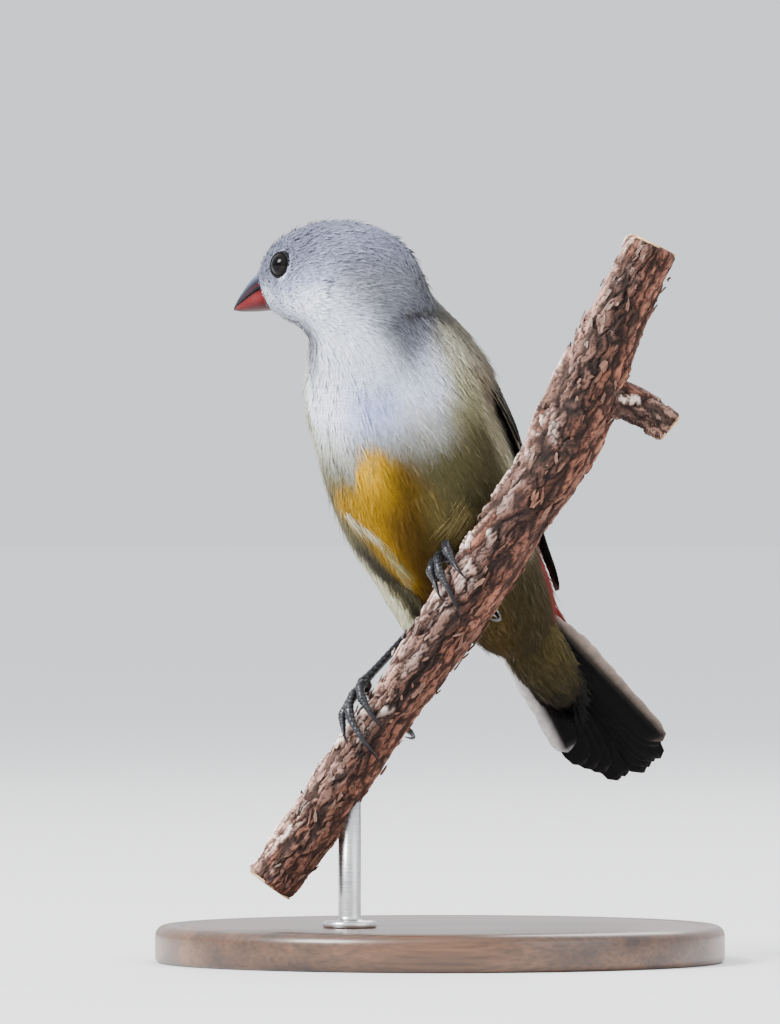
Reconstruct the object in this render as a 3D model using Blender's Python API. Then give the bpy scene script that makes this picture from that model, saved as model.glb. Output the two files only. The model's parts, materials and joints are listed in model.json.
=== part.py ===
"""A yellow-bellied waxbill at life size, gripping a cut pine twig that stands on a small turned base.

Sizes are in millimetres and are turned into metres when a mesh is made. X runs to the right, Y away from
the viewer and Z up. The origin is the centre of the underside of the base.
"""

import math

import bmesh
import bpy
import numpy as np

MM = 0.001
GAP = 0.3  # clear gap between neighbouring pieces

# Driving sizes of the bird
TRUNK_LENGTH = 51.0  # from the neck root to the tail root, feathers included
BREAST_RADIUS = 13.0
HEAD_RADIUS = 7.0
EYE_RADIUS = 1.95
BILL_HALF_WIDTH = 2.9
TAIL_LENGTH = 27.5  # what shows beyond the trunk, along the middle pair
TARSUS_RADIUS = 0.55
TOE_RADIUS = 0.5
VANE_THICKNESS = 0.5

# Places
NECK_ROOT = np.array([-8.3, -7.6, 83.6])
HEAD_CENTRE = np.array([-13.6, -10.0, 92.0])
PERCH_Y = -12.0

# Attitudes, in degrees
TRUNK_SLOPE, TRUNK_LEAN, TRUNK_ROLL = 66.0, 26.0, 22.0
TAIL_SLOPE, TAIL_LEAN, TAIL_ROLL = 55.0, 30.0, 16.0
HEAD_TURN, HEAD_NOD = 38.0, 8.0


def unit(v):
    """Vectors of length one along the last axis."""
    v = np.asarray(v, float)
    return v / np.linalg.norm(v, axis=-1, keepdims=True)


def body_axes(slope, lean, roll):
    """Rows aft, left and dorsal of a part that slopes down to the right and leans away at its lower end."""
    slope, lean, roll = np.radians([slope, lean, roll])
    aft = np.array([math.cos(slope) * math.cos(lean), math.sin(lean), -math.sin(slope) * math.cos(lean)])
    towards_viewer = np.array([-math.sin(roll), -math.cos(roll), 0.0])
    ventral = unit(towards_viewer - aft * (towards_viewer @ aft))
    return np.stack([aft, np.cross(-aft, ventral), -ventral])


def facing(turn, rise):
    """The direction that a head turned away by `turn` and raised by `rise` degrees looks in."""
    turn, rise = np.radians([turn, rise])
    return np.array([-math.cos(rise) * math.cos(turn), math.cos(rise) * math.sin(turn), math.sin(rise)])


TRUNK_AXES = body_axes(TRUNK_SLOPE, TRUNK_LEAN, TRUNK_ROLL)
TAIL_AXES = body_axes(TAIL_SLOPE, TAIL_LEAN, TAIL_ROLL)
FORWARD = facing(HEAD_TURN, -HEAD_NOD)
UPWARD = unit(np.array([0.0, 0.0, 1.0]) - FORWARD * FORWARD[2])
HEAD_AXES = np.stack([FORWARD, np.cross(UPWARD, FORWARD), UPWARD])


def trunk(aft, left=0.0, dorsal=0.0):
    """A point given in the trunk's own directions, from the neck root."""
    return NECK_ROOT + np.array([aft, left, dorsal]) @ TRUNK_AXES


def head(forward, left=0.0, up=0.0):
    """A point given in the head's own directions, from the head's centre."""
    return HEAD_CENTRE + np.array([forward, left, up]) @ HEAD_AXES


# The feathered body is one rounded surface, blended from these ellipsoids: centre, axes and half sizes.
BODY_FORMS = (
    (trunk(13.5, -1.3, -0.8), TRUNK_AXES, (19.0, 11.4, BREAST_RADIUS)),
    (trunk(24.0, -2.1, -1.3), TRUNK_AXES, (18.5, 12.0, 13.4)),
    (trunk(38.0, 0.3, 0.4), TRUNK_AXES, (12.5, 7.6, 7.9)),
    (trunk(46.5, 1.6, 1.8), TRUNK_AXES, (9.0, 4.5, 4.0)),
    (np.array([-8.6, -9.2, 84.8]), TRUNK_AXES, (11.0, 8.3, 9.0)),
    (np.array([-10.6, -10.9, 90.0]), HEAD_AXES, (7.6, 6.6, 6.6)),
    (head(0.0, 0, -0.6), HEAD_AXES, (8.3, HEAD_RADIUS + 0.1, HEAD_RADIUS - 0.45)),
    (head(4.4, 0, 0.55), HEAD_AXES, (7.1, 5.8, 5.5)),
    (head(7.9, 0, -0.6), HEAD_AXES, (4.9, 2.3, 3.6)),
)
BODY_BLEND = 4.0  # how widely neighbouring ellipsoids run into one another


def body_field(points):
    """About the distance outside the feathered body: each ellipsoid's own, joined by a smooth minimum."""
    total = None
    for centre, axes, half_sizes in BODY_FORMS:
        local = (points - centre) @ axes.T
        half_sizes = np.array(half_sizes)
        scaled = np.linalg.norm(local / half_sizes, axis=-1)
        steepness = np.linalg.norm(local / half_sizes**2, axis=-1)
        distance = scaled * (scaled - 1) / np.maximum(steepness, 1e-9)
        if total is None:
            total = distance
        else:
            near = np.maximum(BODY_BLEND - np.abs(total - distance), 0) / BODY_BLEND
            total = np.minimum(total, distance) - near * near * BODY_BLEND / 4
    return total


def onto_body(points, level, rounds):
    """Points moved along the field's slope until they lie `level` outside the body."""
    step = 0.05
    for _ in range(rounds):
        rise = [body_field(points + e) - body_field(points - e) for e in np.eye(3) * step]
        slope = np.stack(rise, axis=-1) / (2 * step)
        steepness = np.maximum(np.sum(slope * slope, axis=-1), 0.05)
        points = points - ((body_field(points) - level) / steepness)[..., None] * slope
    return points


# The line through the body, from the bill to the tail root: point, facing and dorsal direction.
SPINE = np.array(
    [
        np.concatenate(row)
        for row in (
            (head(11.8, 0, -0.9), facing(HEAD_TURN, -10), UPWARD),
            (head(9.5, 0, -0.9), facing(HEAD_TURN, -5), UPWARD),
            (head(5.4, 0, -0.5), facing(37, 8), UPWARD),
            (head(1.6, 0, -0.2), facing(33, 23), UPWARD),
            (np.array([-12.1, -10.8, 91.3]), facing(21, 39), 0.85 * UPWARD + 0.15 * TRUNK_AXES[2]),
            (np.array([-10.3, -10.6, 89.3]), facing(0, 49), 0.6 * UPWARD + 0.4 * TRUNK_AXES[2]),
            (np.array([-9.1, -9.0, 86.5]), facing(-28, 54), 0.25 * UPWARD + 0.75 * TRUNK_AXES[2]),
            (trunk(2), -TRUNK_AXES[0], TRUNK_AXES[2]),
            (trunk(11, -0.3, -0.3), -TRUNK_AXES[0], TRUNK_AXES[2]),
            (trunk(20, -0.5, -0.5), -TRUNK_AXES[0], TRUNK_AXES[2]),
            (trunk(30, -0.2, -0.1), -TRUNK_AXES[0], TRUNK_AXES[2]),
            (trunk(38, 0.3, 0.5), -TRUNK_AXES[0], TRUNK_AXES[2]),
            (trunk(45, 0.9, 1.1), -TRUNK_AXES[0], TRUNK_AXES[2]),
            (trunk(TRUNK_LENGTH, 1.4, 1.6), -TRUNK_AXES[0], TRUNK_AXES[2]),
        )
    ]
)
SPINE_REACH = np.concatenate([[0], np.cumsum(np.linalg.norm(np.diff(SPINE[:, :3], axis=0), axis=1))])


def along(x, knots, values):
    """A smooth curve through values at uneven knots, cubic between each two of them."""
    knots, values = np.asarray(knots, float), np.asarray(values, float)
    slopes = np.gradient(values, knots, axis=0)
    x = np.clip(np.atleast_1d(x), knots[0], knots[-1])
    i = np.clip(np.searchsorted(knots, x, side="right") - 1, 0, len(knots) - 2)
    width = knots[i + 1] - knots[i]
    t = (x - knots[i]) / width
    if values.ndim > 1:
        t, width = t[:, None], width[:, None]
    return (
        (2 * t**3 - 3 * t**2 + 1) * values[i]
        + (t**3 - 2 * t**2 + t) * width * slopes[i]
        + (3 * t**2 - 2 * t**3) * values[i + 1]
        + (t**3 - t**2) * width * slopes[i + 1]
    )


def body_grid(rings, sides, level):
    """Rings of points on the body, from the bill to the tail root, evened out so that no two rings cross."""
    start_radius = 2.4
    even_rounds = 150
    line = along(np.linspace(0, SPINE_REACH[-1], rings), SPINE_REACH, SPINE)
    centre, normal = line[:, :3], unit(line[:, 3:6])
    dorsal = unit(line[:, 6:] - normal * np.sum(normal * line[:, 6:], axis=1, keepdims=True))
    left = np.cross(dorsal, normal)
    angle = np.linspace(0, 2 * math.pi, sides, endpoint=False)[None, :, None]
    rays = np.sin(angle) * left[:, None] + np.cos(angle) * dorsal[:, None]
    points = onto_body(centre[:, None] + start_radius * rays, level, 25)
    for _ in range(even_rounds):
        beside = np.roll(points, 1, axis=1) + np.roll(points, -1, axis=1)
        evened = points / 2 + beside / 4
        evened[1:-1] = (points[:-2] + points[2:] + beside[1:-1]) / 4
        for end in (0, -1):
            evened[end] -= ((evened[end] - centre[end]) @ normal[end])[:, None] * normal[end]
        points = onto_body(evened, level, 1)
    return points


def body_surface(aft, angle, height):
    """Points `height` above the trunk, `aft` along it and `angle` degrees from its back towards its left."""
    aft, angle = np.broadcast_arrays(np.asarray(aft, float), np.radians(angle))
    axis = NECK_ROOT + aft[..., None] * TRUNK_AXES[0]
    ray = np.sin(angle)[..., None] * TRUNK_AXES[1] + np.cos(angle)[..., None] * TRUNK_AXES[2]
    inner, outer = np.zeros(aft.shape), np.full(aft.shape, 25.0)
    for _ in range(24):
        middle = (inner + outer) / 2
        inside = body_field(axis + middle[..., None] * ray) < 0
        inner, outer = np.where(inside, middle, inner), np.where(inside, outer, middle)
    return axis + (inner + height)[..., None] * ray


# Making meshes and joining them


def clear_scene():
    for obj in list(bpy.data.objects):
        bpy.data.objects.remove(obj)


def material(name, colour, roughness, metallic=0.0):
    made = bpy.data.materials.new(name)
    made.use_nodes = True
    shader = made.node_tree.nodes["Principled BSDF"]
    shader.inputs["Base Color"].default_value = (*colour, 1.0)
    shader.inputs["Roughness"].default_value = roughness
    shader.inputs["Metallic"].default_value = metallic
    return made


def new_object(name, points, faces, finish=None):
    """A closed mesh object from points in millimetres, with its faces turned outwards."""
    mesh = bpy.data.meshes.new(name)
    mesh.from_pydata((np.asarray(points) * MM).tolist(), [], faces)
    work = bmesh.new()
    work.from_mesh(mesh)
    bmesh.ops.triangulate(work, faces=[f for f in work.faces if len(f.verts) > 4])
    bmesh.ops.recalc_face_normals(work, faces=work.faces)
    work.to_mesh(mesh)
    work.free()
    mesh.shade_smooth()
    obj = bpy.data.objects.new(name, mesh)
    bpy.context.scene.collection.objects.link(obj)
    if finish:
        mesh.materials.append(finish)
    return obj


def lofted(name, rings, finish=None):
    """A closed tube with flat ends through rings of points, each ring with the same number of them."""
    rings = np.asarray(rings)
    count, sides = rings.shape[:2]
    faces = []
    for i in range(count - 1):
        for j in range(sides):
            a, b = i * sides + j, i * sides + (j + 1) % sides
            faces += [(a, b, b + sides), (a, b + sides, a + sides)]
    points = [*rings.reshape(-1, 3), rings[0].mean(axis=0), rings[-1].mean(axis=0)]
    first, last, tail = count * sides, count * sides + 1, (count - 1) * sides
    if sides == 4:
        points = points[:first]
        faces += [(0, 3, 2), (0, 2, 1), (tail, tail + 1, tail + 2), (tail, tail + 2, tail + 3)]
    else:
        faces += [(first, (j + 1) % sides, j) for j in range(sides)]
        faces += [(last, tail + j, tail + (j + 1) % sides) for j in range(sides)]
    return new_object(name, points, faces, finish)


def tube(name, path, radii, sides, finish=None):
    """A round tube of changing radius along a smooth path."""
    path, radii = np.asarray(path, float), np.asarray(radii, float)
    tangent = unit(np.gradient(path, axis=0))
    side = np.cross(tangent[0], (0.0, 0.0, 1.0) if abs(tangent[0][2]) < 0.9 else (1.0, 0.0, 0.0))
    angle = np.linspace(0, 2 * math.pi, sides, endpoint=False)
    rings = []
    for centre, direction, radius in zip(path, tangent, radii):
        side = unit(side - direction * (side @ direction))
        across = np.cross(direction, side)
        rings.append(centre + radius * (np.cos(angle)[:, None] * side + np.sin(angle)[:, None] * across))
    return lofted(name, rings, finish)


def ball(name, centre, radius, finish=None, detail=2):
    work = bmesh.new()
    bmesh.ops.create_icosphere(work, subdivisions=detail, radius=radius)
    points = np.array([v.co[:] for v in work.verts]) + centre
    faces = [tuple(v.index for v in f.verts) for f in work.faces]
    work.free()
    return new_object(name, points, faces, finish)


def settle(obj):
    """The object's modifiers applied to its mesh."""
    bpy.context.view_layer.update()
    evaluated = obj.evaluated_get(bpy.context.evaluated_depsgraph_get())
    mesh = bpy.data.meshes.new_from_object(evaluated)
    obj.modifiers.clear()
    obj.data = mesh


def keep_largest(obj):
    """Only the object's largest closed surface stays."""
    work = bmesh.new()
    work.from_mesh(obj.data)
    bmesh.ops.dissolve_degenerate(work, edges=work.edges, dist=0.002 * MM)
    bmesh.ops.triangulate(work, faces=work.faces)
    waiting, pieces = set(work.faces), []
    while waiting:
        piece, edge = [], [waiting.pop()]
        while edge:
            face = edge.pop()
            piece.append(face)
            for neighbour in {g for e in face.edges for g in e.link_faces} & waiting:
                waiting.discard(neighbour)
                edge.append(neighbour)
        pieces.append(piece)
    pieces.sort(key=lambda piece: sum(f.calc_area() for f in piece))
    small = [f for piece in pieces[:-1] for f in piece]
    if small:
        bmesh.ops.delete(work, geom=small, context="FACES")
    work.to_mesh(obj.data)
    work.free()


def carve(obj, cutter, solver="EXACT"):
    """The cutter's shape taken out of the object."""
    cut = obj.modifiers.new("carve", "BOOLEAN")
    cut.operation = "DIFFERENCE"
    cut.solver = solver
    cut.object = cutter
    settle(obj)
    keep_largest(obj)


def union(pieces, name, finish, solver="MANIFOLD"):
    """One closed object from pieces that overlap. The pieces are used up."""
    group = bpy.data.collections.new(name + "_pieces")
    for piece in pieces[1:]:
        group.objects.link(piece)
    join = pieces[0].modifiers.new("join", "BOOLEAN")
    join.operation = "UNION"
    join.solver = solver
    join.operand_type = "COLLECTION"
    join.collection = group
    settle(pieces[0])
    for piece in pieces[1:]:
        bpy.data.objects.remove(piece)
    bpy.data.collections.remove(group)
    joined = pieces[0]
    joined.name = name
    keep_largest(joined)
    joined.data.materials.clear()
    if finish:
        joined.data.materials.append(finish)
    joined.data.shade_smooth()
    return joined


def part_between(whole, name, finish, after=None, before=None):
    """A copy of the closed object between two planes, each a point and a normal, with flat cut faces."""
    work = bmesh.new()
    work.from_mesh(whole.data)
    for plane, keep_front in ((after, True), (before, False)):
        if plane is None:
            continue
        point, normal = plane
        bmesh.ops.bisect_plane(
            work,
            geom=[*work.verts, *work.edges, *work.faces],
            plane_co=point * MM,
            plane_no=normal,
            clear_inner=keep_front,
            clear_outer=not keep_front,
        )
        rim = [e for e in work.edges if e.is_boundary]
        bmesh.ops.holes_fill(work, edges=rim, sides=0)
    bmesh.ops.triangulate(work, faces=work.faces)
    bmesh.ops.recalc_face_normals(work, faces=work.faces)
    mesh = bpy.data.meshes.new(name)
    work.to_mesh(mesh)
    work.free()
    mesh.materials.append(finish)
    mesh.shade_smooth()
    obj = bpy.data.objects.new(name, mesh)
    bpy.context.scene.collection.objects.link(obj)
    return obj


# The feathered body


BODY_RINGS, BODY_SIDES = 42, 28
HEAD_CUT = (np.array([-10.3, -10.6, 89.3]), facing(0, 49))
NECK_CUT = (trunk(3.5), -TRUNK_AXES[0])


def make_body(finish):
    """Head, neck and torso, parted by thin flat cuts from one rounded surface."""
    whole = lofted("body_whole", body_grid(BODY_RINGS, BODY_SIDES, 0.0))
    half = GAP / 2
    head_point, head_normal = HEAD_CUT
    neck_point, neck_normal = NECK_CUT
    skull = part_between(whole, "head", finish["grey"], after=(head_point + half * head_normal, head_normal))
    neck = part_between(
        whole,
        "neck",
        finish["pale_grey"],
        after=(neck_point + half * neck_normal, neck_normal),
        before=(head_point - half * head_normal, head_normal),
    )
    shoulder = (neck_point - half * neck_normal, neck_normal)
    torso = part_between(whole, "torso", finish["yellow"], before=shoulder)
    bpy.data.objects.remove(whole)
    return skull, neck, torso


def body_clearance():
    """The body grown by the gap, as a cutter for whatever meets it."""
    grown = body_grid(BODY_RINGS, BODY_SIDES, GAP + 0.04)
    grown[0] += GAP * unit(SPINE[0, 3:6])
    grown[-1] -= GAP * unit(SPINE[-1, 3:6])
    return lofted("body_clearance", grown)


# Eyes and lids


EYE_PLACES = {"left": (4.15, 5.6, 1.2), "right": (4.3, -5.9, 1.2)}  # forward, left and up on the head
EYE_FACING = unit([0.15, 0.97, 0.14])
LID_RADIUS, LID_THICKNESS = 1.72, 0.3


def make_eyes(skull, finish):
    """Each eye is a ball sunk in a socket, with a raised ring of lids round it that belongs to the head."""
    lids, eyes = [], []
    for name, side in (("left", 1.0), ("right", -1.0)):
        centre = head(*EYE_PLACES[name])
        gaze = (EYE_FACING * (1.0, side, 1.0)) @ HEAD_AXES
        across = unit(np.cross(gaze, UPWARD))
        over = np.cross(across, gaze)
        turn = np.linspace(0, 2 * math.pi, 21)[:-1]
        rise = math.sqrt(EYE_RADIUS**2 - LID_RADIUS**2) + 0.15
        loop = centre + rise * gaze + LID_RADIUS * (
            np.cos(turn)[:, None] * across + 0.94 * np.sin(turn)[:, None] * over
        )
        lids.append(ring_tube(f"lid_{name}", loop, LID_THICKNESS, 6))
        eyes.append((name, centre))
    skull = union([skull, *lids], "head", finish["grey"])
    for name, centre in eyes:
        socket = ball("socket", centre, EYE_RADIUS + GAP, detail=3)
        carve(skull, socket)
        bpy.data.objects.remove(socket)
        ball(f"eye_{name}", centre, EYE_RADIUS, finish["eye"], 3)
    return skull


def ring_tube(name, loop, radius, sides):
    """A closed ring of round section along a loop of points."""
    centre = loop.mean(axis=0)
    tangent = unit(np.roll(loop, -1, axis=0) - np.roll(loop, 1, axis=0))
    outward = unit(loop - centre)
    across = np.cross(tangent, outward)
    angle = np.linspace(0, 2 * math.pi, sides, endpoint=False)[None, :, None]
    points = loop[:, None] + radius * (np.cos(angle) * outward[:, None] + np.sin(angle) * across[:, None])
    count = len(loop)
    faces = []
    for i in range(count):
        for j in range(sides):
            a, b = i * sides + j, i * sides + (j + 1) % sides
            c, d = (i + 1) % count * sides + (j + 1) % sides, (i + 1) % count * sides + j
            faces.append((a, b, c, d))
    return new_object(name, points.reshape(-1, 3), faces)


# Bill


BILL_REAR, BILL_TIP = 10.0, 18.1  # forward from the head's centre


def bill_lines(forward):
    """Heights of the culmen, the mouth line and the gonys, and the half width, at places along the bill."""
    stations = (BILL_REAR, 12.0, 13.8, 15.5, 17.0, BILL_TIP)
    culmen = along(forward, stations, (2.6, 2.35, 1.62, 0.35, -1.05, -2.35))
    mouth = along(forward, stations, (-0.45, -0.75, -1.22, -1.72, -2.1, -2.5))
    gonys = along(forward, stations, (-3.6, -3.55, -3.42, -3.2, -2.95, -2.62))
    width = along(forward, stations, np.array([1.0, 0.92, 0.72, 0.49, 0.26, 0.05]) * BILL_HALF_WIDTH)
    return culmen, mouth, gonys, width


def make_bill(clearance, finish):
    """Two horny halves that meet at the mouth line. Each has an arched outer side and a flat inner one."""
    steps, arch_points = 13, 9
    forward = np.linspace(BILL_REAR, BILL_TIP, steps)
    culmen, mouth, gonys, width = bill_lines(forward)
    arch = np.linspace(0, math.pi, arch_points)
    for name, edge, crest, colour in (
        ("bill_upper", mouth + GAP / 2, culmen, "bill_upper"),
        ("bill_lower", mouth - GAP / 2, gonys, "bill_lower"),
    ):
        crest = np.where(np.abs(crest - edge) < 0.12, edge + np.sign(crest - mouth) * 0.12, crest)
        rings = []
        for f, w, low, high in zip(forward, width, edge, crest):
            up = low + (high - low) * np.sin(arch) ** 0.85
            rings.append([head(f, w * math.cos(a), u) for a, u in zip(arch, up)])
        half = lofted(name, rings, finish[colour])
        if name == "bill_upper":
            for side in (1.0, -1.0):
                nostril = ball("nostril", head(13.3, side * 2.05, 0.15), 0.42, detail=1)
                carve(half, nostril)
                bpy.data.objects.remove(nostril)
        carve(half, clearance)
        half.data.shade_smooth()


# Wings


VANE_STATIONS = 5


def vane(name, start, end, widths, heights, side, bow=0.0, tilt=0.18):
    """One feather on the trunk, a thin slab that follows the body. Start and end give the place along the
    trunk and the angle round it; one long edge stands `tilt` higher, so that neighbours lap like tiles."""
    t = np.linspace(0, 1, VANE_STATIONS)
    aft = start[0] + (end[0] - start[0]) * t
    angle = start[1] + (end[1] - start[1]) * t + bow * np.sin(math.pi * t)
    height = heights[0] + (heights[1] - heights[0]) * t
    root_width, full_width, tip_width = widths
    widths = (root_width, full_width, full_width, 0.72 * full_width, tip_width)
    half = along(t, (0, 0.35, 0.75, 0.93, 1.0), widths) / 2
    middle = body_surface(aft, side * angle, height)
    radius = np.linalg.norm(middle - (NECK_ROOT + aft[:, None] * TRUNK_AXES[0]), axis=1)
    spread = np.degrees(half / radius)
    rings = []
    for edge, lift in ((-1, -tilt), (1, tilt)):
        for level in (0.5, -0.5) if edge < 0 else (-0.5, 0.5):
            place = side * (angle + edge * spread)
            rings.append(body_surface(aft, place, height + lift + level * VANE_THICKNESS))
    return lofted(name, np.stack(rings, axis=1))


def wing_core(name, side):
    """The shoulder: a rounded patch that hugs the trunk from wrist to elbow, where all vanes root."""
    rows, columns = 9, 7
    along_wing = np.linspace(0, 1, rows)[:, None]
    across = np.linspace(-1, 1, columns)[None, :]
    aft = 4.5 + 16.0 * along_wing + 1.5 * across
    angle = 62 - 8 * along_wing + 24 * across * np.sqrt(np.clip(1 - (2 * along_wing - 1) ** 4, 0.1, 1))
    dome = np.sqrt(np.clip(1 - (2 * along_wing - 1) ** 4, 0, 1) * np.clip(1 - across**4, 0, 1))
    inner = body_surface(aft, side * angle, 0.45 + 0 * aft)
    outer = body_surface(aft, side * angle, 0.75 + 0.6 * dome)
    points = np.concatenate([inner.reshape(-1, 3), outer.reshape(-1, 3)])
    shift = rows * columns
    faces = []
    for i in range(rows - 1):
        for j in range(columns - 1):
            a, b = i * columns + j, i * columns + j + 1
            c, d = b + columns, a + columns
            faces += [(a, b, c), (a, c, d)]
            faces += [(a + shift, c + shift, b + shift), (a + shift, d + shift, c + shift)]
    rim = [(0, j) for j in range(columns)] + [(i, columns - 1) for i in range(1, rows)]
    rim += [(rows - 1, j) for j in range(columns - 2, -1, -1)] + [(i, 0) for i in range(rows - 2, 0, -1)]
    rim = [i * columns + j for i, j in rim]
    for a, b in zip(rim, rim[1:] + rim[:1]):
        faces += [(a, b, b + shift), (a, b + shift, a + shift)]
    return new_object(name, points, faces)


# Tiers of a folded wing, the lowest first: name, number of vanes, where the first and the last one start and
# end (aft along the trunk, angle from the back), widths at root, middle and tip, heights over the body at
# root and tip, sideways bow, and how late the ends draw in from the first vane to the last.
WING_TIERS = (
    ("primary", 8, (9, 80), (10.5, 68), (46.5, 54), (37, 41), (2.4, 3.0, 0.9), (0.8, 0.85), 4, 1.4),
    ("secondary", 5, (10.5, 70), (12.5, 50), (37, 46), (34.5, 34), (2.6, 3.4, 1.3), (1.0, 1.05), 3, 1.0),
    ("tertial", 3, (12, 55), (13, 40), (36.5, 37), (31, 26), (2.8, 4.4, 1.8), (1.15, 1.3), 2, 1.0),
    ("greater", 7, (7.5, 79), (10.5, 42), (21.5, 75), (20.5, 38), (2.2, 3.8, 1.6), (1.1, 1.25), 0, 1.0),
    ("median", 5, (6, 77), (8.5, 43), (15.5, 74), (15, 40), (2.4, 4.4, 1.6), (1.15, 1.35), 0, 1.0),
)


def make_wing(name, side, clearance, finish):
    """A folded wing: long primaries under secondaries, tertials over them, and two tiers of coverts."""
    pieces = [wing_core(name + "_core", side)]
    for tier, count, start, last_start, end, last_end, widths, heights, bow, late in WING_TIERS:
        start, last_start, end, last_end = np.array([start, last_start, end, last_end], float)
        for t in np.linspace(0, 1, count):
            root = start + t * (last_start - start)
            tip = end + np.array([t**late, t]) * (last_end - end)
            pieces.append(vane(tier, root, tip, widths, heights, side, bow))
    wing = union(pieces, name, finish["brown"])
    carve(wing, clearance, "MANIFOLD")
    wing.data.shade_flat()
    return wing


# Tail


TAIL_ROOT = trunk(TRUNK_LENGTH - 4.0, 2.0, 1.4)
PAIRS = 6
VANE_WIDTH = 4.4
FAN = {1: 7.6, -1: 6.6}  # degrees that the outermost feather turns out, on the left and on the right
TIP_DRAW_IN = 5.5  # how much shorter the outer feathers are than the middle pair
TIP_UNEVEN = {1: 1.2, -1: -3.2}  # and how much longer or shorter each side is than that
TAIL_COVERTS = (  # name, finish, side of the tail, reach along it, height of the lower row
    ("upper_tail_coverts", "red", 1, 13.5, 2.15),
    ("under_tail_coverts", "olive", -1, 20.0, 2.4),
)
COVERT_WIDTH, COVERT_ROW_STEP = 3.8, 0.41


def tail(aft, left=0.0, dorsal=0.0):
    """A point in the tail's own directions, from its root."""
    return TAIL_ROOT + np.array([aft, left, dorsal]) @ TAIL_AXES


def tail_vane(name, root_left, spread, start, length, width, height, tilt, droop=0.0):
    """One tail feather or covert: a thin slab with a rounded tip, turned out by `spread` degrees."""
    t = np.linspace(0, 1, VANE_STATIONS)
    aft = start + (length - start) * t
    half = along(t, (0, 0.25, 0.8, 0.94, 1.0), (0.45, 0.85, 1.0, 0.78, 0.3)) * width / 2
    left = root_left + (aft - start) * math.tan(math.radians(spread))
    up = height - droop * t**2
    rings = []
    for edge, lift in ((-1, -tilt), (1, tilt)):
        for level in (0.5, -0.5) if edge < 0 else (-0.5, 0.5):
            rise = up + lift + level * VANE_THICKNESS
            rings.append([tail(a, l, u) for a, l, u in zip(aft, left + edge * half, rise)])
    return lofted(name, np.stack(rings, axis=1))


def make_tail(clearance, finish):
    """Six pairs of tail feathers, the middle one on top and longest, and the coverts over their base."""
    pieces = [ball("pygostyle", tail(0.5), 2.6, detail=2)]
    for i in range(PAIRS):
        t = i / (PAIRS - 1)
        for side in (-1, 1):
            stagger = 0.06 if side > 0 else 0.0
            pieces.append(
                tail_vane(
                    "rectrix",
                    side * (0.55 + 1.5 * t),
                    side * (0.9 + FAN[side] * t),
                    -1.0 + stagger,
                    TAIL_LENGTH + 4.0 - TIP_DRAW_IN * t**1.6 + TIP_UNEVEN[side] * t + stagger,
                    VANE_WIDTH,
                    0.95 - 1.9 * t + stagger,
                    -side * 0.14,
                )
            )
    fan = union(pieces, "tail", finish["black"])
    carve(fan, clearance, "MANIFOLD")
    fan.data.shade_flat()
    for name, colour, sign, reach, low in TAIL_COVERTS:
        pieces = []
        for row, (count, length) in enumerate(((5, reach), (4, reach * 0.72))):
            for i in range(count):
                t = 2 * i / (count - 1) - 1
                height = sign * (low + COVERT_ROW_STEP * row - 0.35 * t * t)
                pieces.append(
                    tail_vane(
                        "covert",
                        2.3 * t,
                        7.0 * t,
                        -3.0,
                        length - 2.5 * t * t,
                        COVERT_WIDTH,
                        height,
                        -sign * (0.12 + 0.01 * i) * (1 if t > 0 else -1),
                    )
                )
        root = ball("covert_root", tail(-1.0, 0, sign * (low + 0.4)), 2.3, detail=2)
        squash = np.array([v.co[:] for v in root.data.vertices])
        centre = tail(-1.0, 0, sign * (low + 0.4)) * MM
        local = (squash - centre) @ TAIL_AXES.T * (1.5, 1.6, 0.45)
        root.data.vertices.foreach_set("co", (centre + local @ TAIL_AXES).ravel())
        coverts = union([root, *pieces], name, finish[colour])
        carve(coverts, clearance, "MANIFOLD")
        coverts.data.shade_flat()


# Perch


PERCH_LINE = np.array(  # X and Z of the twig's centre from the lower cut up, and its radius there
    [
        (-22.6, 10.6, 3.8),
        (-16.6, 18.9, 3.9),
        (-10.0, 28.9, 3.9),
        (-6.6, 33.8, 3.7),
        (-0.3, 42.9, 4.2),
        (5.3, 51.6, 4.5),
        (10.7, 60.3, 4.5),
        (14.0, 65.0, 4.6),
        (18.8, 75.0, 5.0),
        (23.1, 84.9, 4.2),
        (28.2, 95.4, 3.8),
    ]
)
PERCH_REACH = np.concatenate([[0], np.cumsum(np.hypot(*np.diff(PERCH_LINE[:, :2], axis=0).T))])
SIDE_TWIG = ((19.6, 76.0), (25.5, 75.2), (30.4, 71.0), 2.3)  # start, bend and cut end in X and Z, and radius


def perch(reach):
    """Centre, direction and radius of the twig at distances from its lower cut."""
    place = along(reach, PERCH_REACH, PERCH_LINE)
    centre = np.stack([place[:, 0], np.full(len(place), PERCH_Y), place[:, 1]], axis=1)
    step = along(np.asarray(reach) + 0.2, PERCH_REACH, PERCH_LINE) - along(
        np.asarray(reach) - 0.2, PERCH_REACH, PERCH_LINE
    )
    direction = unit(np.stack([step[:, 0], 0 * step[:, 0], step[:, 1]], axis=1))
    return centre, direction, place[:, 2]


def around_perch(reach, angle, height):
    """Points at a height over the twig's bark. Angle 0 is its upper left side and 90 the viewer's side."""
    reach, angle, height = np.broadcast_arrays(
        np.asarray(reach, float), np.radians(angle), np.asarray(height, float)
    )
    centre, direction, radius = perch(reach.ravel())
    upper_left = unit(np.cross(direction, (0.0, 1.0, 0.0)))
    ray = np.cos(angle.ravel())[:, None] * upper_left + np.sin(angle.ravel())[:, None] * (0.0, -1.0, 0.0)
    return (centre + (radius + height.ravel())[:, None] * ray).reshape(*reach.shape, 3)


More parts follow.
